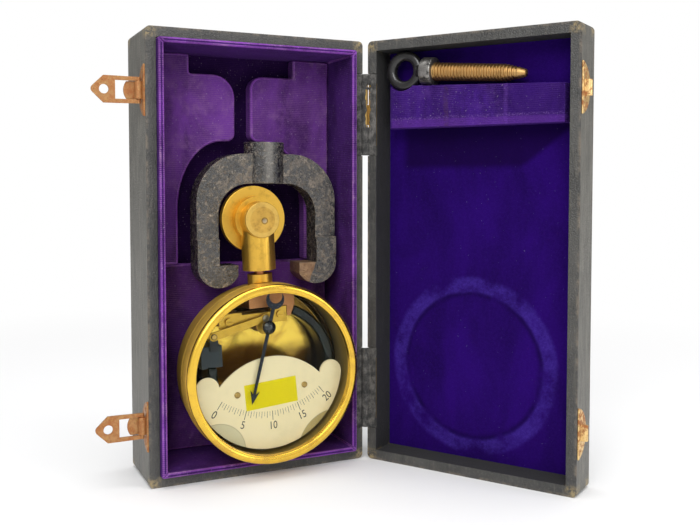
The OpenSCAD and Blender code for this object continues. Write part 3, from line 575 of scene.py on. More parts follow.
def gilt_brass(look):
    """Lacquered brass: turned all round, with spots where the lacquer went."""
    spot, x, y, z = look.axes(gauge_place())
    turned = look.noise(look.join(far(x, y) * 60.0, z * 60.0, 0.0), 45 * MM, 3)
    stain = look.noise(spot, 11 * MM, 5, 0.65)
    pits = look.noise(spot, 1.4 * MM, 3, 0.6).step(0.68, 0.78)
    side = z.fall(12.6 * MM, 14.0 * MM) * 0.35
    base = look.coats(
        tones().gilt,
        (stain.step(0.45, 0.72) * 0.6, (0.50, 0.27, 0.06)),
        (pits * 0.6, tones().brass_dark),
        (side * 1.2, (0.66, 0.41, 0.10)),
    )
    return look.finish(
        Base_Color=base,
        Metallic=1.0 - side,
        Roughness=0.18 + stain * 0.14 + pits * 0.2 + side * 0.5,
        Normal=look.bump(turned * 0.4 + stain * 0.4, 0.12, 0.12 * MM),
    )


def casing_inside(look):
    """Spun brass of the casing's inside: a mirror at the back, duller on the wall near the glass."""
    spot, x, y, z = look.axes(gauge_place())
    smear = look.noise(spot, 14 * MM, 4, 0.6, 0.8)
    wall = z.step(-13 * MM, -6 * MM)
    # Painted dark reflections: brown behind the link, towards the tube and low down, clear and bright in
    # between
    ripple = (look.noise(spot, 9 * MM, 4, 0.6) - 0.5) * (14 * MM)
    dark_reflection_behind_link = (y + x * 0.25 + ripple).step(18 * MM, 24 * MM) * x.fall(2 * MM, 9 * MM)
    dark_reflection_by_tube = (x + y * 0.35 + ripple * 0.6).step(33 * MM, 39 * MM)
    dark_reflection_low = (y + ripple * 0.7).fall(6 * MM, 14 * MM)
    base = look.coats(
        look.mix(smear.step(0.4, 0.75), (0.84, 0.56, 0.09), (0.50, 0.27, 0.045)),
        (dark_reflection_behind_link.most(dark_reflection_by_tube).most(dark_reflection_low * 0.7) * 0.8, (0.16, 0.085, 0.022)),
        (wall * 0.6, (0.62, 0.44, 0.14)),
    )
    return look.finish(
        Base_Color=base,
        Metallic=1.0 - wall * 0.75,
        Roughness=0.12 + smear * 0.16 + wall * 0.25,
        Normal=look.bump(smear, 0.2, 0.8 * MM),
    )


def aged_brass(look, matrix=None, tone=None, dull=0.0):
    """Brass with brown stains, small pits and light scratches."""
    spot = look.place(matrix)
    tone = tone or tones().brass
    stain = look.noise(spot, 6 * MM, 6, 0.68)
    pits = look.noise(spot, 0.9 * MM, 3, 0.6).step(0.66, 0.78)
    hair = look.noise(spot, 0.35 * MM, 2)
    base = look.coats(
        tone,
        (stain.step(0.48, 0.78) * 0.7, tinted(tone, 0.5)),
        (pits * 0.7, tones().brass_dark),
    )
    return look.finish(
        Base_Color=base,
        Metallic=0.95,
        Roughness=0.27 + dull + stain * 0.22 + pits * 0.2,
        Normal=look.bump(hair * 0.5 + stain, 0.18, 0.15 * MM),
    )


def stem_brass(look):
    return aged_brass(look, gauge_place())


def copper_metal(look):
    return aged_brass(look, None, (0.50, 0.22, 0.09), 0.05)


def thread_brass(look):
    return aged_brass(look, screw_place(), (0.50, 0.30, 0.11), 0.06)


def brown_brass(look):
    return aged_brass(look, gauge_place(), (0.17, 0.095, 0.030), 0.1)


def hinge_brass(look):
    return aged_brass(look, None, (0.50, 0.33, 0.11), 0.1)


def plug_brass(look):
    """Turned face of the plug: fine rings round its own axis and a punched dot off the middle."""
    spot, x, y, z = look.axes(gauge_place())
    away = far(x, y, (0.0, PLUG_Y))
    rings = (away * (TURN / (0.45 * MM))).sine()
    stain = look.noise(spot, 5 * MM, 5, 0.65)
    from_dot = far(x, y, (1.2 * MM, PLUG_Y - 0.6 * MM))
    dot = from_dot.fall(1.1 * MM, 1.5 * MM)
    base = look.coats(
        look.mix(stain.step(0.42, 0.75), (0.55, 0.335, 0.07), (0.32, 0.18, 0.04)),
        (away.step(7.3 * MM, 7.9 * MM) * 0.35, (0.74, 0.52, 0.14)),
        (from_dot.near(1.7 * MM, 0.15 * MM, 0.5 * MM) * 0.7, (0.12, 0.07, 0.025)),
        (dot * 0.8, (0.30, 0.26, 0.19)),
    )
    return look.finish(
        Base_Color=base,
        Metallic=0.9,
        Roughness=0.42 + stain * 0.2,
        Normal=look.bump(rings * 0.4 - dot * 6.0, 0.15, 0.06 * MM),
    )


def black_iron(look):
    """Black paint over cast iron: pitted, glossy, scuffed to grey and brown metal in places."""
    spot, x, y, z = look.axes()
    cast = look.noise(spot, 3.2 * MM, 6, 0.7)
    scuff = look.noise(spot, 8 * MM, 7, 0.75).step(0.46, 0.66)
    sparkle = look.noise(spot, 2.0 * MM, 6, 0.8).step(0.49, 0.60)
    pits = look.cells(spot, 1.9 * MM).step(0.0, 0.4)
    stain = look.noise(spot, 5 * MM, 5, 0.7).step(0.60, 0.70)
    wobble = (cast - 0.5) * (3 * MM)
    # The boss keeps more of its paint and shines, with a painted highlight as a light streak down its front
    boss = x.near(9 * MM, 9.4 * MM, 10.4 * MM) * z.step(156 * MM, 158 * MM)
    kept = boss * (1 - scuff * 0.5)
    boss_highlight = (x + wobble).near(8 * MM, 0.4 * MM, 4.2 * MM) * boss
    # The inner end of the right hook is rubbed down to brown metal along a slanted line
    slant = (x - z * 0.38 + wobble).fall(-8.0 * MM, -7.2 * MM)
    bare = slant * x.step(24 * MM, 25 * MM) * z.fall(124.2 * MM, 124.6 * MM)
    brown = look.mix(cast.step(0.35, 0.65), (0.20, 0.10, 0.045), (0.40, 0.24, 0.12))
    base = look.coats(
        tinted(tones().iron, 0.5),
        (sparkle * 0.6, (0.34, 0.305, 0.255)),
        (scuff * 0.35 + scuff * sparkle * 0.4, tones().iron_worn),
        (stain * 0.35, (0.22, 0.13, 0.06)),
        ((1 - pits) * 0.75, (0.006, 0.006, 0.005)),
        (kept * 0.8, (0.008, 0.008, 0.007)),
        (boss_highlight * (0.3 + sparkle * 0.5), (0.34, 0.32, 0.285)),
        (bare * 0.85, brown),
    )
    return look.finish(
        Base_Color=base,
        Metallic=(scuff * 0.25 + sparkle * 0.35) * (1 - kept * 0.7) + bare * 0.3,
        Roughness=0.18 + cast * 0.16 - kept * 0.08 + bare * 0.15,
        Specular_IOR_Level=0.95,
        Normal=look.bump(cast + pits * 0.6 + sparkle * 0.4, 0.75, 0.55 * MM),
    )


def worn_iron(look):
    spot = look.place()
    bare = look.noise(spot, 4.5 * MM, 6, 0.7).step(0.44, 0.60)
    return look.finish(
        Base_Color=look.mix(bare, tones().iron, tones().iron_worn),
        Metallic=bare * 0.5,
        Roughness=0.34 + bare * 0.16,
        Normal=look.bump(look.noise(spot, 1.5 * MM, 4), 0.3, 0.3 * MM),
    )


def black_steel(look):
    spot = look.place(screw_place())
    scuff = look.noise(spot, 5 * MM, 6, 0.7).step(0.62, 0.74)
    return look.finish(
        Base_Color=look.mix(scuff * 0.6, (0.014, 0.013, 0.013), (0.10, 0.085, 0.07)),
        Roughness=0.26 + scuff * 0.25,
        Specular_IOR_Level=0.6,
        Normal=look.bump(look.noise(spot, 1.8 * MM, 4), 0.25, 0.3 * MM),
    )


def scuffed_steel(look):
    """Steel whose black coat is mostly rubbed off."""
    coat = look.noise(look.place(screw_place()), 4 * MM, 6, 0.72).step(0.46, 0.60)
    return look.finish(
        Base_Color=look.mix(coat, (0.26, 0.25, 0.235), (0.018, 0.017, 0.016)),
        Metallic=0.9 - coat * 0.7,
        Roughness=0.30,
        Normal=look.bump(coat, 0.3, 0.2 * MM),
    )


def rusty_plate(look, clean, rust_low, rust_high, shine):
    """Plated steel that rusts through in blotches."""
    spot = look.place()
    blotch = look.noise(spot, 3.6 * MM, 6, 0.7)
    rust = blotch.step(rust_low, rust_high)
    deep = look.noise(spot, 1.2 * MM, 5, 0.7).step(0.54, 0.72)
    yellow = look.noise(spot, 2.0 * MM, 4, 0.6).step(0.58, 0.7)
    base = look.coats(
        clean,
        (rust, tones().rust),
        (yellow * 0.5, (0.50, 0.30, 0.07)),
        (deep * 0.55, (0.10, 0.042, 0.018)),
    )
    return look.finish(
        Base_Color=base,
        Metallic=shine - rust * shine * 0.7,
        Roughness=0.36 + rust * 0.25 + deep * 0.1,
        Normal=look.bump(blotch + deep * 0.6, 0.55, 0.35 * MM),
    )


def hasp_steel(look):
    return rusty_plate(look, (0.44, 0.235, 0.095), 0.36, 0.64, 0.75)


def catch_gilt(look):
    return rusty_plate(look, (0.78, 0.55, 0.24), 0.44, 0.60, 0.8)


def clear_glass(look):
    """Thin pane: see-through, with a mirror layer that grows at grazing angles."""
    look.tree.nodes.remove(look.bsdf)
    clear = look.node("ShaderNodeBsdfTransparent", sockets={"Color": (0.98, 1.0, 0.99)})
    gloss = look.node("ShaderNodeBsdfGlossy", sockets={"Roughness": 0.02, "Color": (1, 1, 1)})
    edge = look.node("ShaderNodeFresnel", sockets={"IOR": 1.45})
    amount = (edge - 0.032).most(0.0) * 0.8
    look.surface(look.node("ShaderNodeMixShader", sockets={0: amount, 1: clear, 2: gloss}))
    return look.material


# Round notches at the dial's lower edge: middle and radius in millimetres, and tone
NOTCHES = (((-34.6, -42.9), 16.8, (0.70, 0.62, 0.40)), ((39.0, -52.9), 24.1, (0.50, 0.38, 0.14)))


def dial_paint(look):
    spot, x, y, z = look.axes(gauge_place())
    fog = look.noise(spot, 14 * MM, 5, 0.6)
    speck = look.noise(spot, 0.8 * MM, 3, 0.6).step(0.70, 0.78)
    base = look.coats(
        tones().dial,
        (fog.step(0.45, 0.8) * 0.3, (0.74, 0.62, 0.36)),
        (speck * 0.4, (0.35, 0.27, 0.15)),
    )
    for middle, reach, shade in NOTCHES:
        away = far(x, y, tinted(middle, MM))
        base = look.coats(
            base,
            (away.fall((reach - 0.2) * MM, reach * MM) * (0.75 + fog * 0.3), shade),
            (away.near(reach * MM, 0.05 * MM, 0.4 * MM) * 0.45, (0.20, 0.15, 0.07)),
        )
    return look.finish(
        Base_Color=base, Roughness=0.45 + fog * 0.1, Normal=look.bump(fog, 0.05, 0.1 * MM)
    )


def dial_ink(look):
    worn = look.noise(look.place(), 1.2 * MM, 4, 0.6)
    base = look.mix(worn.step(0.5, 0.8) * 0.5, (0.022, 0.020, 0.020), (0.12, 0.10, 0.08))
    return look.finish(Base_Color=base, Roughness=0.55)


def label_paper(look):
    fibre = look.noise(look.place(), 1.5 * MM, 4, 0.6)
    return look.finish(
        Base_Color=look.mix(fibre.step(0.4, 0.8) * 0.35, tones().label, tinted(tones().label, 0.8)),
        Roughness=0.6,
        Specular_IOR_Level=0.2,
        Normal=look.bump(fibre, 0.1, 0.1 * MM),
    )


def blued_steel(look):
    tint = look.noise(look.place(), 5 * MM, 4)
    base = look.mix(tint, (0.008, 0.010, 0.018), (0.022, 0.026, 0.040))
    return look.finish(Base_Color=base, Metallic=0.6, Roughness=0.3 + tint * 0.1)


def bright_steel(look):
    spot = look.place()
    return look.finish(
        Base_Color=look.mix(look.noise(spot, 3 * MM, 4), (0.36, 0.29, 0.19), (0.50, 0.42, 0.30)),
        Metallic=1.0,
        Roughness=0.38,
        Normal=look.bump(look.noise(spot, 0.5 * MM), 0.1, 0.05 * MM),
    )


def slate_steel(look):
    fog = look.noise(look.place(), 4 * MM, 4)
    return look.finish(
        Base_Color=look.mix(fog, (0.018, 0.024, 0.030), (0.040, 0.052, 0.060)),
        Metallic=0.3,
        Roughness=0.4 + fog * 0.15,
        Normal=look.bump(fog, 0.1, 0.1 * MM),
    )


def tube_lacquer(look):
    fog = look.noise(look.place(gauge_place()), 12 * MM, 3, 0.5)
    return look.finish(
        Base_Color=look.mix(fog.step(0.35, 0.75), (0.004, 0.007, 0.005), (0.009, 0.014, 0.011)),
        Metallic=0.1,
        Roughness=0.2 + fog * 0.08,
        Specular_IOR_Level=0.4,
        Normal=look.bump(fog, 0.04, 0.1 * MM),
    )


def dark_steel(look):
    """Near-black steel of the tip lug with the brass head of its pin."""
    spot, x, y, z = look.axes(gauge_place())
    fog = look.noise(spot, 3 * MM, 4)
    pin = far(x, y, (-32.4 * MM, 24.3 * MM)).fall(1.25 * MM, 1.4 * MM)
    steel = look.mix(fog, (0.012, 0.013, 0.014), (0.030, 0.031, 0.032))
    return look.finish(
        Base_Color=look.mix(pin, steel, (0.60, 0.38, 0.10)),
        Metallic=0.4 + pin * 0.5,
        Roughness=0.35 + fog * 0.15,
    )


def polished_black(look):
    fog = look.noise(look.place(), 3 * MM, 3)
    return look.finish(
        Base_Color=look.mix(fog, (0.006, 0.007, 0.010), (0.014, 0.016, 0.022)),
        Metallic=0.2,
        Roughness=0.10 + fog * 0.06,
        Specular_IOR_Level=0.9,
    )


# Meshes


def put(name, data):
    """A new object in the scene."""
    thing = bpy.data.objects.new(name, data)
    bpy.context.scene.collection.objects.link(thing)
    return thing


def own_mesh(name, vertices, faces):
    mesh = bpy.data.meshes.new(name)
    mesh.from_pydata(np.asarray(vertices).tolist(), [], [list(f) for f in faces])
    return mesh


def show(mesh, name, makes, body, replaces=(), smooth=35):
    """Puts a mesh in the scene as a piece that rides on a body, or on none.

    Its materials come from one recipe or a tuple of them.
    """
    piece = put(name, mesh)
    for make in makes if isinstance(makes, tuple) else (makes,):
        mesh.materials.append(finish_of(make))
    mesh.polygons.foreach_set("use_smooth", np.ones(len(mesh.polygons), dtype=bool))
    mesh.set_sharp_from_angle(angle=math.radians(smooth))
    mesh.update()
    if body:
        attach(piece, body)
    if replaces:
        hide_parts(*replaces)
    return piece


def moved(points, matrix):
    """Rows of points in a piece's frame, carried into the scene by a matrix."""
    points = np.asarray(points, dtype=float).reshape(-1, 3)
    turn = np.array(matrix)
    return points @ turn[:3, :3].T + turn[:3, 3]


def grid_faces(rows, columns, close_columns=False):
    """Quads between neighbouring rows and columns of a grid of points."""
    across = columns if close_columns else columns - 1
    i, j = np.meshgrid(np.arange(rows - 1), np.arange(across), indexing="ij")
    here, there = i * columns, (i + 1) * columns
    right = (j + 1) % columns
    return np.stack([here + j, here + right, there + right, there + j], axis=-1).reshape(-1, 4)


def around(steps):
    """Angles all the way round."""
    return np.linspace(0, TURN, steps, endpoint=False)


def revolve(profile, matrix, steps=128):
    """Turns a profile of (radius, height) points about the third axis.

    Point = (r cos a, r sin a, h). Points on the axis become one pole each.
    """
    profile = np.asarray(profile, dtype=float)
    angle = around(steps)
    radius = profile[:, None, 0]
    height = np.repeat(profile[:, None, 1], steps, axis=1)
    ring = np.stack([radius * np.cos(angle), radius * np.sin(angle), height], axis=-1)
    mesh = own_mesh("revolved", moved(ring, matrix), grid_faces(len(profile), steps, close_columns=True))
    tidy(mesh)
    return mesh


def arc(centre, radius, start, end, steps):
    """Points on an arc in a profile's plane, angles in degrees."""
    t = np.radians(np.linspace(start, end, steps))
    return np.stack([centre[0] + radius * np.cos(t), centre[1] + radius * np.sin(t)], axis=1)


def tidy(mesh):
    """Drops loose points, merges doubled ones and turns all faces outwards."""
    near = 1e-7
    work = bmesh.new()
    work.from_mesh(mesh)
    bmesh.ops.delete(work, geom=[v for v in work.verts if not v.link_faces], context="VERTS")
    bmesh.ops.remove_doubles(work, verts=work.verts, dist=near)
    bmesh.ops.dissolve_degenerate(work, edges=work.edges, dist=near)
    bmesh.ops.recalc_face_normals(work, faces=work.faces)
    work.to_mesh(mesh)
    work.free()
    mesh.update()


def joined(name, meshes):
    """One mesh from several."""
    work = bmesh.new()
    for mesh in meshes:
        work.from_mesh(mesh)
    whole = bpy.data.meshes.new(name)
    work.to_mesh(whole)
    work.free()
    return whole


# Points closer than this are one in a copied solid; along a mitre the gap is wider
MERGE = 0.003 * MM
MITRE_MERGE = 0.04 * MM


def clean_mesh(work, name, merge=MERGE):
    """A new mesh of a copied solid: points merged, flat faces made whole, first material."""
    bmesh.ops.remove_doubles(work, verts=work.verts, dist=merge)
    bmesh.ops.dissolve_limit(work, angle_limit=math.radians(0.6), verts=work.verts, edges=work.edges)
    bmesh.ops.recalc_face_normals(work, faces=work.faces)
    for face in work.faces:
        face.material_index = 0
    mesh = bpy.data.meshes.new(name)
    work.to_mesh(mesh)
    work.free()
    return mesh


def softened(node, name, makes, width, segments=3, angle=32, mitred=False, rides=True):
    """A copy of a CAD node with rounded edges. The rounding takes the second of two materials.

    A mitred frame loses the slanted faces between its boards and becomes one covered shell.
    """
    work = bmesh.new()
    work.from_mesh(frame["nodes"][node].data)
    if mitred:
        work.normal_update()
        slanted = [f for f in work.faces if 0.6 < abs(f.normal.z) < 0.8]
        bmesh.ops.delete(work, geom=slanted, context="FACES")
    mesh = clean_mesh(work, name, MITRE_MERGE if mitred else MERGE)
    piece = show(mesh, name, makes, body_of(node) if rides else None, (node,), smooth=angle)
    round_edges(piece, width, segments, angle, 1 if isinstance(makes, tuple) else -1)
    return piece


def round_edges(piece, width, segments, angle, material):
    bevel = piece.modifiers.new("edges", "BEVEL")
    bevel.width = width
    bevel.segments = segments
    bevel.limit_method = "ANGLE"
    bevel.angle_limit = math.radians(angle)
    bevel.use_clamp_overlap = True
    bevel.harden_normals = True
    bevel.material = material
    bevel.miter_outer = "MITER_ARC"


def body_of(node):
    for body, nodes in frame["record"]["behaviour"]["bodies"].items():
        if node in nodes:
            return body
    raise ValueError(node)


def repaint(make, *nodes):
    """Gives CAD nodes, which stay as they are, a better material."""
    for node in nodes:
        slots = frame["nodes"][node].data.materials
        slots.clear()
        slots.append(finish_of(make))


class Build:
    """Shared words of the operators that build pieces."""

    bl_options = {"REGISTER", "UNDO"}


class BuildStage(Build, bpy.types.Operator):
    """Floor, white surroundings, soft lamps and the camera of the photograph"""

    bl_idname = "gauge.stage"
    bl_label = "Stage"

    # Strength of the surroundings as a light, and of the grey room that reflections see
    AMBIENT = 0.55
    ROOM = 0.28
    # White that reflections see in front and overhead: heading, and cosines where it starts and is full
    GLOWS = (((-0.50, -0.85, 0.15), 0.35, 0.92), ((0, 0, 1), 0.40, 0.85))

    FLOOR_R = 3.0
    FLOOR_FADE = (0.22, 0.75)

    LAMPS_AIM = Vector((0.03, -0.04, 0.13))
    # Name, place, side and power of each lamp
    LAMPS = (
        ("key", (-0.75, -1.15, 1.05), 0.9, 15.0),
        ("fill", (1.15, -1.25, 0.55), 0.9, 9.0),
        ("top", (0.0, -0.1, 1.5), 1.1, 11.0),
    )

    CAMERA_AT = (-175.1 * MM, -512.5 * MM, 172.8 * MM)
    CAMERA_HEADING = math.radians(25.49)
    CAMERA_PITCH = math.radians(2.72)
    FOCAL_PIXELS = 878.2
    FRAME_WIDTH = 700
    PRINCIPAL_ABOVE_MIDDLE = 37.5

    def execute(self, context):
        context.scene.view_settings.view_transform = "Standard"
        self.add_world()
        self.add_floor()
        self.add_lamps()
        self.add_camera()
        return {"FINISHED"}

    def add_world(self):
        world = bpy.data.worlds.new("studio")
        bpy.context.scene.world = world
        world.use_nodes = True
        net = Net(world.node_tree)
        camera, glossy, through = net.rays("Camera", "Glossy", "Transmission")
        seen = camera.most(glossy.most(through))
        level = net.node("ShaderNodeMapRange", sockets={"Value": seen, "To Min": self.AMBIENT, "To Max": 1.0})
        heading = net.node("ShaderNodeTexCoord")
        glows = []
        for aim, start, full in self.GLOWS:
            ahead = {0: heading, 1: Vector(aim).normalized()}
            dot = net.node("ShaderNodeVectorMath", {"operation": "DOT_PRODUCT"}, ahead, "Value")
            glow = dot.step(start, full)
            net.feed(glow.socket.node.inputs["To Min"], self.ROOM)
            glows.append(glow)
        choice = {"Factor": glossy, "A": level, "B": glows[0].most(glows[1])}
        back = world.node_tree.nodes["Background"]
        net.feed(back.inputs["Color"], (1, 1, 1))
        net.feed(back.inputs["Strength"], net.node("ShaderNodeMix", sockets=choice))

    def add_floor(self):
        """A round floor that fades from matt grey-white near the case to plain white."""
        radii = np.concatenate([[0.0], np.linspace(0.05, self.FLOOR_R, 30)])
        mesh = revolve(np.stack([radii, np.zeros_like(radii)], axis=1), Matrix.Identity(4), 64)
        if mesh.polygons[0].normal.z < 0:
            mesh.flip_normals()
        look = Look("floor")
        look.finish(Base_Color=(0.86, 0.86, 0.865), Roughness=0.75, Specular_IOR_Level=0.2)
        spot, x, y, z = look.axes()
        camera, glossy = look.rays("Camera", "Glossy")
        fade = far(x, y).step(*self.FLOOR_FADE) * camera.most(glossy)
        matt = Wire(look, look.bsdf.outputs[0])
        white = look.node("ShaderNodeEmission", sockets={"Color": (1, 1, 1), "Strength": 1.0})
        look.surface(look.node("ShaderNodeMixShader", sockets={0: fade, 1: matt, 2: white}))
        mesh.materials.append(look.material)
        put("floor", mesh)

    def add_lamps(self):
        """Three large soft lamps: key from the left front, fill from the right, one above."""
        for name, place, side, watts in self.LAMPS:
            light = bpy.data.lights.new(name, "AREA")
            light.shape = "SQUARE"
            light.size = side
            light.energy = watts
            lamp = put(name, light)
            lamp.location = place
            lamp.rotation_euler = (self.LAMPS_AIM - Vector(place)).to_track_quat("-Z", "Y").to_euler()

    def add_camera(self):
        data = bpy.data.cameras.new("photo_view")
        data.sensor_width = 36
        data.lens = self.FOCAL_PIXELS / self.FRAME_WIDTH * data.sensor_width
        data.shift_y = -self.PRINCIPAL_ABOVE_MIDDLE / self.FRAME_WIDTH
        data.clip_start = 0.01
        camera = put("photo_view", data)
        camera.location = self.CAMERA_AT
        camera.rotation_euler = (math.pi / 2 - self.CAMERA_PITCH, 0, -self.CAMERA_HEADING)
        bpy.context.scene.camera = camera


class BuildBoards(Build, bpy.types.Operator):
    """Covered wooden boards of the base and the lid"""

    bl_idname = "gauge.boards"
    bl_label = "Covered boards"

    def execute(self, context):
        for part, cloth in (("base", base_cloth), ("lid", lid_cloth)):
            walls = f"{part}_covered_walls"
            back = f"{part}_covered_back"
            softened(f"{part}_walls", walls, (cloth, cloth), sizes().board_edge, mitred=True)
            softened(f"{part}_panel", back, (cloth, rubbed_cloth), 0.4 * MM)
        return {"FINISHED"}


class BuildBaseVelvet(Build, bpy.types.Operator):
    """Velvet-covered lip, fitted boards and floor of the base"""

    bl_idname = "gauge.base_velvet"
    bl_label = "Base velvet"

    def execute(self, context):
        covers = (base_velvet, edge_velvet)
        for node in ("recess_board_left", "recess_board_right", "lower_board", "gauge_rest"):
            softened(node, f"{node}_velvet", covers, sizes().velvet_edge, 4)
        softened("lip_boards", "lip_velvet", (lip_velvet, edge_velvet), 1.0 * MM, 4)
        floor = softened("base_floor_velvet", "base_floor_pile", deep_velvet, 0.3 * MM)
        return {"FINISHED"}


class BuildLidVelvet(Build, bpy.types.Operator):
    """Velvet floor of the lid with the pressed ring, and the velvet bar"""

    bl_idname = "gauge.lid_velvet"
    bl_label = "Lid velvet"

    RING_HALF_WIDE = 2.6 * MM
    SWELL = 0.08 * MM
    # The pile lies this far behind the solid's face, so that the swell stays inside it
    BEHIND_FACE = 0.1 * MM

    def execute(self, context):
        self.add_floor()
        softened("lid_bar", "lid_bar_velvet", (bar_velvet, bar_edge_velvet), 1.2 * MM, 4)
        return {"FINISHED"}

    def add_floor(self):
        """Sheet: depth = floor + hollow * ring(distance from the bezel's middle) + a faint swell."""
        edge_u = (HINGE_OFF + WALL_T, HINGE_OFF + CASE_W - WALL_T)
        edge_z = (WALL_T, CASE_H - WALL_T)
        u, z = np.meshgrid(np.linspace(*edge_u, 150), np.linspace(*edge_z, 300))
        away = np.hypot(u - RING[0], z - RING[1])
        ring = np.exp(-(((away - RING_R) / self.RING_HALF_WIDE) ** 2))
        swell = self.SWELL * np.sin(u * 110) * np.sin(z * 74)
        depth = LID_FLOOR + self.BEHIND_FACE + sizes().nap_hollow * ring + swell
        front = np.stack([u, depth, z], axis=-1).reshape(-1, 3)
        back = front.copy()
        back[:, 1] = LID_DEPTH - LID_PANEL_T - 0.02 * MM
        rows, columns = u.shape
        count = rows * columns
        faces = grid_faces(rows, columns)
        rim = np.concatenate([
            np.arange(columns),
            np.arange(1, rows) * columns + columns - 1,
            (rows - 1) * columns + np.arange(columns - 2, -1, -1),
            np.arange(rows - 2, 0, -1) * columns,
        ])
        side = np.stack([rim, np.roll(rim, -1), np.roll(rim, -1) + count, rim + count], axis=1)
        points = moved(np.concatenate([front, back]), lid_place())
        mesh = own_mesh("lid_floor_pile", points, np.concatenate([faces, faces[:, ::-1] + count, side]))
        tidy(mesh)
        piece = show(mesh, "lid_floor_pile", lid_floor_velvet, "lid", ("lid_velvet",))
        size = (edge_u[1] - edge_u[0], edge_z[1] - edge_z[0])


class BuildStraps(Build, bpy.types.Operator):
    """Cloth straps over the hinges, the upper one torn"""

    bl_idname = "gauge.straps"
    bl_label = "Hinge straps"

    TALL = 50 * MM
    THICK = 0.45 * MM
    BEND = 2.15 * MM
    FLAP = 5.4 * MM
    BLEND_REACH = 2.4 * MM
    # Angle by which the bend runs past the walls at each end
    OVERRUN = 0.21

    def execute(self, context):
        low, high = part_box("hinge_straps")
        self.add_strap("upper_strap", high[2] - self.TALL, True)
        self.add_strap("lower_strap", low[2], False)
        return {"FINISHED"}

    def add_strap(self, name, bottom, torn):
        """A cloth band that runs along the base's rim, round the knuckles and along the lid's rim.

        Its line is a straight run, an arc about the hinge axis, and a second
        straight run. A tear takes a ragged bite out of one side.
        """
        run = np.linspace(0, 1, 14)[:, None]
        theta = math.pi - self.OVERRUN + (LID_OPEN + 2 * self.OVERRUN) * np.linspace(0, 1, 24)
        turn = LID_OPEN - math.pi
        outward = np.array([math.cos(turn), math.sin(turn)])
        inward = np.array([-math.sin(turn), math.cos(turn)])
        first = (self.BEND + self.FLAP * (1 - run[:-1])) * np.array([-1.0, 0.0]) + np.array([0.0, self.THICK])
        middle = self.BEND * np.stack([np.cos(theta), np.sin(theta)], axis=1)
        last = (self.BEND + self.FLAP * run[1:]) * outward + self.THICK * inward
        line = np.concatenate([first, middle, last])
        z = bottom + self.TALL * np.linspace(0, 1, 70)
        rows, columns = len(line), len(z)
        points = np.empty((rows, columns, 3))
        points[:, :, :2] = line[:, None, :]
        points[:, :, 2] = z
        points[:, :, 0] += 0.12 * MM * np.sin(z * 900) * np.sin(np.linspace(0, np.pi, rows))[:, None]
        faces = grid_faces(rows, columns)
        # Places of the faces, as shares of the strap's length and of its height
        along, up = faces[:, 0] // columns / rows, faces[:, 0] % columns / columns
        wave = 0.02 * np.sin(up * 61) + 0.03 * np.sin(up * 23 + 1)
        keep = ~((along < 0.05 + wave * 0.8) & (up > 0.2))
        if torn:
            keep &= ~((along > 0.52 + wave) & (along < 0.76 + wave * 0.6) & (up > 0.33) & (up < 0.80 + wave))
        mesh = own_mesh(name, points.reshape(-1, 3) + np.array([HINGE_X, RIM_Y, 0]), faces[keep])
        tidy(mesh)
        piece = show(mesh, name, strap_cloth, None, ("hinge_straps",), smooth=180)
        solid = piece.modifiers.new("thickness", "SOLIDIFY")
        solid.thickness = self.THICK
        solid.offset = 0
        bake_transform(piece)


class BuildHinges(Build, bpy.types.Operator):
    """Brass leaves, knuckles and pins of the hinges"""

    bl_idname = "gauge.hinges"
    bl_label = "Hinges"

    def execute(self, context):
        repaint(hinge_brass, "hinge_leaves_base", "hinge_pins", "hinge_leaves_lid")
        return {"FINISHED"}


class BuildHasps(Build, bpy.types.Operator):
    """Hasps, the plates that carry them and the catches on the lid, with their nails"""

    bl_idname = "gauge.hasps"
    bl_label = "Hasps and catches"

    EDGE = 0.3 * MM
    PLATE_T = 1 * MM
    PLATE_INSET = 35.5 * MM
    NAIL_R = 1.1 * MM
    NAIL_H = 0.45 * MM
    NAIL_DEPTH = 3.6 * MM
    NAIL_FROM_MIDDLE = 10 * MM

    def execute(self, context):
        softened("hasp_plates", "rusty_hasp_plates", hasp_steel, self.EDGE, 2)
        for which in ("upper", "lower"):
            softened(f"{which}_hasp", f"{which}_hasp_rounded", hasp_steel, self.EDGE, 2)
        softened("catch_plates", "gilt_catches", catch_gilt, 0.5 * MM, 3)
        base_side = case_place() @ Matrix.Translation((-CASE_W / 2 - self.PLATE_T, 0, 0))
        lid_side = lid_place() @ Matrix.Translation((HINGE_OFF + CASE_W + self.PLATE_T, 0, 0))
        self.add_nails("hasp_nails", base_side, -1, hasp_steel, "case_base", "rusty_steel")
        self.add_nails("catch_nails", lid_side, 1, catch_gilt, "lid", "plate_gilt")
        return {"FINISHED"}

    def add_nails(self, name, matrix, side, make, body, slot):
        """Domed nail heads near both ends of each plate: height = h (1 - (r / R)^2)."""
        r = np.linspace(self.NAIL_R, 0, 6)
        dome = np.stack([r, self.NAIL_H * (1 - (r / self.NAIL_R) ** 2)], axis=1)
        profile = np.concatenate([[[0, -0.2 * MM], [self.NAIL_R, -0.2 * MM]], dome])
        outward = Matrix.Rotation(side * math.pi / 2, 4, "Y")
        meshes = []
        for middle in (self.PLATE_INSET, CASE_H - self.PLATE_INSET):
            for up in (-self.NAIL_FROM_MIDDLE, self.NAIL_FROM_MIDDLE):
                spot = matrix @ Matrix.Translation((0, self.NAIL_DEPTH, middle + up))
                meshes.append(revolve(profile, spot @ outward, 20))
        show(joined(name, meshes), name, make, body)


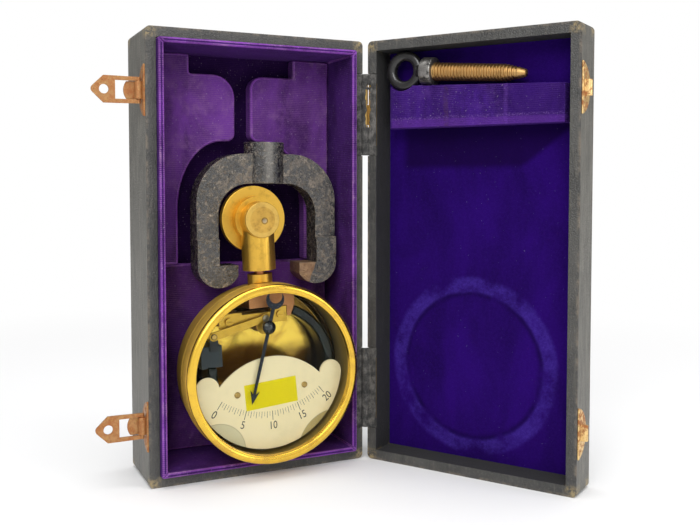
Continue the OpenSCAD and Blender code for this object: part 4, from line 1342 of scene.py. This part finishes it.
class BuildCasing(Build, bpy.types.Operator):
    """Gilt casing and bezel with their beads, and the pane of glass"""

    bl_idname = "gauge.casing"
    bl_label = "Casing, bezel and glass"

    # The casing's inner surface lies within this radius and in front of this depth
    LINING_R = 49.6 * MM
    LINING_BACK = -17 * MM

    def execute(self, context):
        self.add_bezel()
        self.add_casing()
        repaint(clear_glass, "glass")
        repaint(stem_brass, "casing_screw")
        return {"FINISHED"}

    def add_bezel(self):
        """Profile: skirt, a thin groove, a rounded shoulder, a flat face and a rolled lip."""
        profile = np.concatenate([
            [[50.55, 13.0], [50.55, 1.5], [52.0, 1.5]],
            arc((52.0, 2.1), 0.5, -60, 60, 5),
            [[52.2, 3.0], [52.2, 12.6], [51.95, 12.9], [52.2, 13.2]],
            arc((50.0, 14.7), 2.45, 4, 90, 14),
            [[49.2, 17.2], [48.7, 16.9]],
            arc((48.0, 16.2), 0.7, 70, 180, 7),
            [[47.3, 13.02], [50.55, 13.0]],
        ]) * MM
        mesh = revolve(profile, gauge_place(), 192)
        show(mesh, "bezel_ring", gilt_brass, "gauge", ("bezel",), 40)

    def add_casing(self):
        """Profile: back, outer wall, rim, inner wall and floor of the cup."""
        profile = np.concatenate([
            [[0.0, -18.0]],
            arc((46.5, -14.0), 4.0, -90, 0, 10),
            [[50.5, 10.98], [49.3, 10.98], [49.3, -14.0]],
            arc((46.5, -14.0), 2.65, 0, -90, 8),
            [[0.0, -16.5]],
        ]) * MM
        mesh = revolve(profile, gauge_place(), 160)
        show(mesh, "casing_cup", (gilt_brass, casing_inside), "gauge", ("casing",), 40)
        centres = np.empty(len(mesh.polygons) * 3)
        mesh.polygons.foreach_get("center", centres)
        local = moved(centres, gauge_place().inverted())
        lining = (np.hypot(local[:, 0], local[:, 1]) < self.LINING_R) & (local[:, 2] > self.LINING_BACK)
        mesh.polygons.foreach_set("material_index", lining.astype(np.int32))


class BuildDial(Build, bpy.types.Operator):
    """Cream dial with its scale and plain numbers, the bare label and the screws"""

    bl_idname = "gauge.dial"
    bl_label = "Dial"

    SWEEP = math.radians(37.2)
    UNITS = 20
    INK = 0.05 * MM
    TICK_FROM = 50.0 * MM
    # Outer radius and width of the ticks at fives, at whole units and at halves
    TICKS = ((55.4 * MM, 0.34 * MM), (53.8 * MM, 0.22 * MM), (52.8 * MM, 0.16 * MM))
    NUMBERS_R = 58.8 * MM
    NUMBERS_WIDTH = 0.82
    CAPITAL_SHARE = 0.7

    def execute(self, context):
        repaint(dial_paint, "dial")
        repaint(hinge_brass, "dial_posts", "dial_screws")
        softened("dial_label", "yellow_label", label_paper, 0.05 * MM, 2)
        self.add_scale()
        self.add_numbers()
        return {"FINISHED"}

    def angle_of(self, value):
        """Direction of a value on the scale, in radians from straight down."""
        return -self.SWEEP + 2 * self.SWEEP * value / self.UNITS

    def add_scale(self):
        """Each tick is a thin box from one radius to another about the pivot."""
        ticks = []
        for half in range(2 * self.UNITS + 1):
            kind = 0 if half % 10 == 0 else 1 if half % 2 == 0 else 2
            ticks.append((self.angle_of(half / 2), self.TICK_FROM, *self.TICKS[kind]))
        a, inner, outer, width = (np.array(v) for v in zip(*ticks))
        ahead = np.stack([np.sin(a), -np.cos(a)], axis=1)
        across = np.stack([np.cos(a), np.sin(a)], axis=1)
        pivot = np.array([0, PIVOT_Y])
        corners = [
            ahead * r[:, None] + across * (width * side)[:, None] + pivot
            for r, side in ((inner, -0.5), (inner, 0.5), (outer, 0.5), (outer, -0.5))
        ]
        flat = np.stack(corners, axis=1)
        low, top = (
            np.concatenate([flat, np.full((*flat.shape[:2], 1), DIAL_FACE + ink)], axis=2)
            for ink in (-self.INK, self.INK)
        )
        points = np.concatenate([low, top], axis=1)
        box = np.array([[0, 3, 2, 1], [4, 5, 6, 7], [0, 1, 5, 4], [1, 2, 6, 5], [2, 3, 7, 6], [3, 0, 4, 7]])
        faces = (box[None] + 8 * np.arange(len(a))[:, None, None]).reshape(-1, 4)
        mesh = own_mesh("scale_ticks", moved(points, gauge_place()), faces)
        show(mesh, "scale_ticks", dial_ink, "gauge")

    def add_numbers(self):
        """Plain figures along the arc, each turned so that its foot points away from the pivot."""
        meshes = []
        for value in range(0, self.UNITS + 1, 5):
            data = bpy.data.curves.new(f"figure_{value}", "FONT")
            data.body = str(value)
            data.size = sizes().numeral_h / self.CAPITAL_SHARE
            data.align_x = "CENTER"
            data.align_y = "CENTER"
            data.extrude = self.INK
            figure = put(data.name, data)
            bpy.context.view_layer.update()
            mesh = bpy.data.meshes.new_from_object(figure)
            bpy.data.objects.remove(figure)
            a = self.angle_of(value)
            reach = self.NUMBERS_R
            place = Vector((math.sin(a) * reach, PIVOT_Y - math.cos(a) * reach, DIAL_FACE))
            narrow = Matrix.Diagonal((self.NUMBERS_WIDTH, 1, 1, 1))
            mesh.transform(gauge_place() @ Matrix.Translation(place) @ Matrix.Rotation(a, 4, "Z") @ narrow)
            meshes.append(mesh)
        mesh = joined("scale_numbers", meshes)
        tidy(mesh)
        show(mesh, "scale_numbers", dial_ink, "gauge", smooth=30)


class BuildMovement(Build, bpy.types.Operator):
    """Bourdon tube, blocks, plates, link and arbor behind the glass"""

    bl_idname = "gauge.movement"
    bl_label = "Movement"

    # Where the tube is still and where it is free, along the gauge's X axis
    TUBE_STILL_X = 4 * MM
    TUBE_FREE_X = -28 * MM
    TUBE_Z = -5 * MM

    def execute(self, context):
        edge = 0.15 * MM
        self.add_tube()
        softened("socket_block", "socket_block_cut", copper_metal, 0.6 * MM)
        softened("tube_tip_block", "tip_block_cut", slate_steel, 0.25 * MM, 2)
        softened("tube_tip_lug", "tip_lug_cut", dark_steel, edge, 2)
        for node in ("movement_plate_front", "link_bar"):
            softened(node, f"{node}_brass", stem_brass, edge, 2)
        repaint(stem_brass, "movement_pillars", "movement_screws")
        repaint(brown_brass, "movement_plate_back")
        repaint(bright_steel, "pointer_arbor")
        return {"FINISHED"}

    def add_tube(self):
        """A rounded copy of the flat tube on no body, its place baked into its points."""
        tube = softened("bourdon_tube", "flat_tube", tube_lacquer, 2.2 * MM, 5, 50, rides=False)
        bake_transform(tube)


class BuildPointer(Build, bpy.types.Operator):
    """Blue-black pointer with its crescent tail and domed hub"""

    bl_idname = "gauge.pointer"
    bl_label = "Pointer"

    def execute(self, context):
        softened("pointer", "pointer_hand", blued_steel, 0.12 * MM, 2)
        softened("pointer_hub", "pointer_cap", polished_black, 1.4 * MM, 6, 40)
        return {"FINISHED"}


class BuildStem(Build, bpy.types.Operator):
    """Collar, neck, stem, flange and plug"""

    bl_idname = "gauge.stem"
    bl_label = "Stem and flange"

    def execute(self, context):
        for node in ("stem_collar", "stem_casting", "flange_disc"):
            softened(node, f"{node}_turned", stem_brass, 0.45 * MM)
        repaint(copper_metal, "stem_neck")
        softened("stem_plug", "stem_plug_turned", plug_brass, 0.35 * MM)
        return {"FINISHED"}


class BuildClamp(Build, bpy.types.Operator):
    """Cast iron clamp with rubbed edges"""

    bl_idname = "gauge.clamp"
    bl_label = "Clamp"

    CUTS = ("clamp_yoke", "clamp_shoulder_left", "clamp_shoulder_right", "clamp_arm_left", "clamp_arm_right")
    SMOOTH = 32

    def execute(self, context):
        mesh = self.whole_casting()
        makes = (black_iron, worn_iron)
        piece = show(mesh, "clamp_casting", makes, "clamp", self.CUTS, smooth=self.SMOOTH)
        round_edges(piece, sizes().iron_edge, 4, self.SMOOTH, 1)
        return {"FINISHED"}

    def whole_casting(self):
        """The casting in one mesh: the cut pieces joined, without the faces between them."""
        work = bmesh.new()
        for node in self.CUTS:
            work.from_mesh(frame["nodes"][node].data)
        yoke_low, yoke_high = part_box("clamp_yoke")
        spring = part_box("clamp_shoulder_left")[0][2]
        near = 0.01 * MM
        inner = []
        for face in work.faces:
            spots = [v.co for v in face.verts]
            across = any(all(abs(p.x - x) < near for p in spots) for x in (yoke_low[0], yoke_high[0]))
            level = all(abs(p.z - spring) < near for p in spots)
            if level or across:
                inner.append(face)
        bmesh.ops.delete(work, geom=inner, context="FACES")
        return clean_mesh(work, "clamp_casting")


class BuildScrew(Build, bpy.types.Operator):
    """Ring-headed screw with its collar and thread"""

    bl_idname = "gauge.screw"
    bl_label = "Eye screw"

    RING_R = 9.1 * MM
    RING_HALF_WIDE = 3.1 * MM
    RING_HALF_THICK = 3.0 * MM
    RING_POWER = 2.6
    NECK_FROM = 8.8 * MM
    NECK_R = 4.4 * MM
    NECK_FLARE = 2.4 * MM
    COLLAR_AT = 12.6 * MM
    COLLAR_END = 20.6 * MM
    COLLAR_R = 8.5 * MM
    COLLAR_EDGE = 1.0 * MM
    SHANK = 58 * MM
    POINT = 5 * MM
    SHANK_R = 5.5 * MM
    END_SHARE = 0.62

    def execute(self, context):
        self.add_ring()
        self.add_collar()
        self.add_thread()
        return {"FINISHED"}

    def along(self):
        """Frame of a turned part of the screw: its third axis runs along the shank."""
        return screw_place() @ Matrix.Rotation(math.pi / 2, 4, "Y")

    def add_ring(self):
        """Ring: a superellipse section, |a|^p + |b|^p = 1, carried round a circle, and a flared neck."""
        t = around(32)
        a, b = (np.sign(f) * np.abs(f) ** (2 / self.RING_POWER) for f in (np.cos(t), np.sin(t)))
        angle = around(96)
        radius = np.repeat(self.RING_R + self.RING_HALF_WIDE * a[None, :], len(angle), axis=0)
        ring = np.stack([
            radius * np.cos(angle)[:, None],
            np.repeat(self.RING_HALF_THICK * b[None, :], len(angle), axis=0),
            radius * np.sin(angle)[:, None],
        ], axis=-1)
        closed = np.concatenate([ring, ring[:1]])
        faces = grid_faces(len(closed), len(t), close_columns=True)
        mesh = own_mesh("ring", moved(closed, screw_place()), faces)
        tidy(mesh)
        s = np.linspace(self.NECK_FROM, self.COLLAR_AT, 8)
        share = (s - self.NECK_FROM) / (self.COLLAR_AT - self.NECK_FROM)
        flare = np.stack([self.NECK_R + self.NECK_FLARE * share ** 2, s], axis=1)
        profile = np.concatenate([[[0, self.NECK_FROM]], flare, [[0, self.COLLAR_AT]]])
        neck = revolve(profile, self.along(), 48)
        whole = joined("screw_ring", [mesh, neck])
        show(whole, "screw_ring", black_steel, "eye_screw", ("screw_eye",), 50)

    def add_collar(self):
        """Profile: a disc with rounded rims."""
        edge = self.COLLAR_EDGE
        profile = np.concatenate([
            [[0, self.COLLAR_AT]],
            arc((self.COLLAR_R - edge, self.COLLAR_AT + edge), edge, -90, 0, 6),
            arc((self.COLLAR_R - edge, self.COLLAR_END - edge), edge, 0, 90, 6),
            [[0, self.COLLAR_END]],
        ])
        mesh = revolve(profile, self.along(), 72)
        show(mesh, "screw_collar_turned", scuffed_steel, "eye_screw", ("screw_collar",), 50)

    def add_thread(self):
        """Helix: radius = taper (R - depth (0.5 - 0.72 cos(phase))), phase = 2 pi s / pitch - angle."""
        s = np.linspace(0, self.SHANK - self.POINT, 520)
        angle = around(56)
        phase = TURN * s[:, None] / sizes().thread_pitch - angle[None, :]
        groove = np.clip(0.5 - 0.72 * np.cos(phase), 0, 1)
        fade = np.clip(s / (2 * MM), 0, 1)[:, None] * np.clip((s[-1] - s) / (1.5 * MM), 0, 1)[:, None]
        taper = np.interp(s, [0, self.SHANK * 0.78, s[-1]], [1.0, 0.93, self.END_SHARE])[:, None]
        radius = (self.SHANK_R - sizes().thread_depth * groove * fade) * taper
        tip = np.array([
            [self.SHANK - self.POINT + 0.01 * MM, self.SHANK_R * self.END_SHARE],
            [self.SHANK - 1.0 * MM, 2.3 * MM],
            [self.SHANK - 0.3 * MM, 2.0 * MM],
            [self.SHANK, 0.0],
        ])
        s_all = np.concatenate([[0], s, tip[:, 0]])
        rows = np.concatenate([np.zeros((1, len(angle))), radius, np.repeat(tip[:, 1:], len(angle), axis=1)])
        length = np.repeat(self.COLLAR_END + s_all[:, None], len(angle), axis=1)
        points = np.stack([length, rows * np.cos(angle), rows * np.sin(angle)], axis=-1)
        faces = grid_faces(len(s_all), len(angle), close_columns=True)
        mesh = own_mesh("screw_thread", moved(points, screw_place()), faces)
        tidy(mesh)
        show(mesh, "screw_thread", thread_brass, "eye_screw", ("screw_shank",), 60)


STEPS = (
    BuildStage, BuildBoards, BuildBaseVelvet, BuildLidVelvet, BuildStraps, BuildHinges, BuildHasps,
    BuildCasing, BuildDial, BuildMovement, BuildPointer, BuildStem, BuildClamp, BuildScrew,
)


class GaugePanel(bpy.types.Panel):
    """Lists the sizes, the colours and a button for each piece"""

    bl_idname = "VIEW3D_PT_gauge"
    bl_label = "Gauge in fitted case"
    bl_space_type = "VIEW_3D"
    bl_region_type = "UI"
    bl_category = "Gauge"

    def draw(self, context):
        for group in (context.scene.gauge_sizes, context.scene.gauge_colours):
            for name in group.__annotations__:
                self.layout.prop(group, name)
        for step in STEPS:
            self.layout.operator(step.bl_idname)


CLASSES = (GaugeSizes, GaugeColours, *STEPS, GaugePanel)


def register():
    for one in CLASSES:
        bpy.utils.register_class(one)
    bpy.types.Scene.gauge_sizes = PointerProperty(type=GaugeSizes)
    bpy.types.Scene.gauge_colours = PointerProperty(type=GaugeColours)


def unregister():
    del bpy.types.Scene.gauge_colours
    del bpy.types.Scene.gauge_sizes
    for one in reversed(CLASSES):
        bpy.utils.unregister_class(one)


def main():
    register()
    for step in STEPS:
        group, name = step.bl_idname.split(".")
        getattr(getattr(bpy.ops, group), name)()


if __name__ == "__main__":
    main()
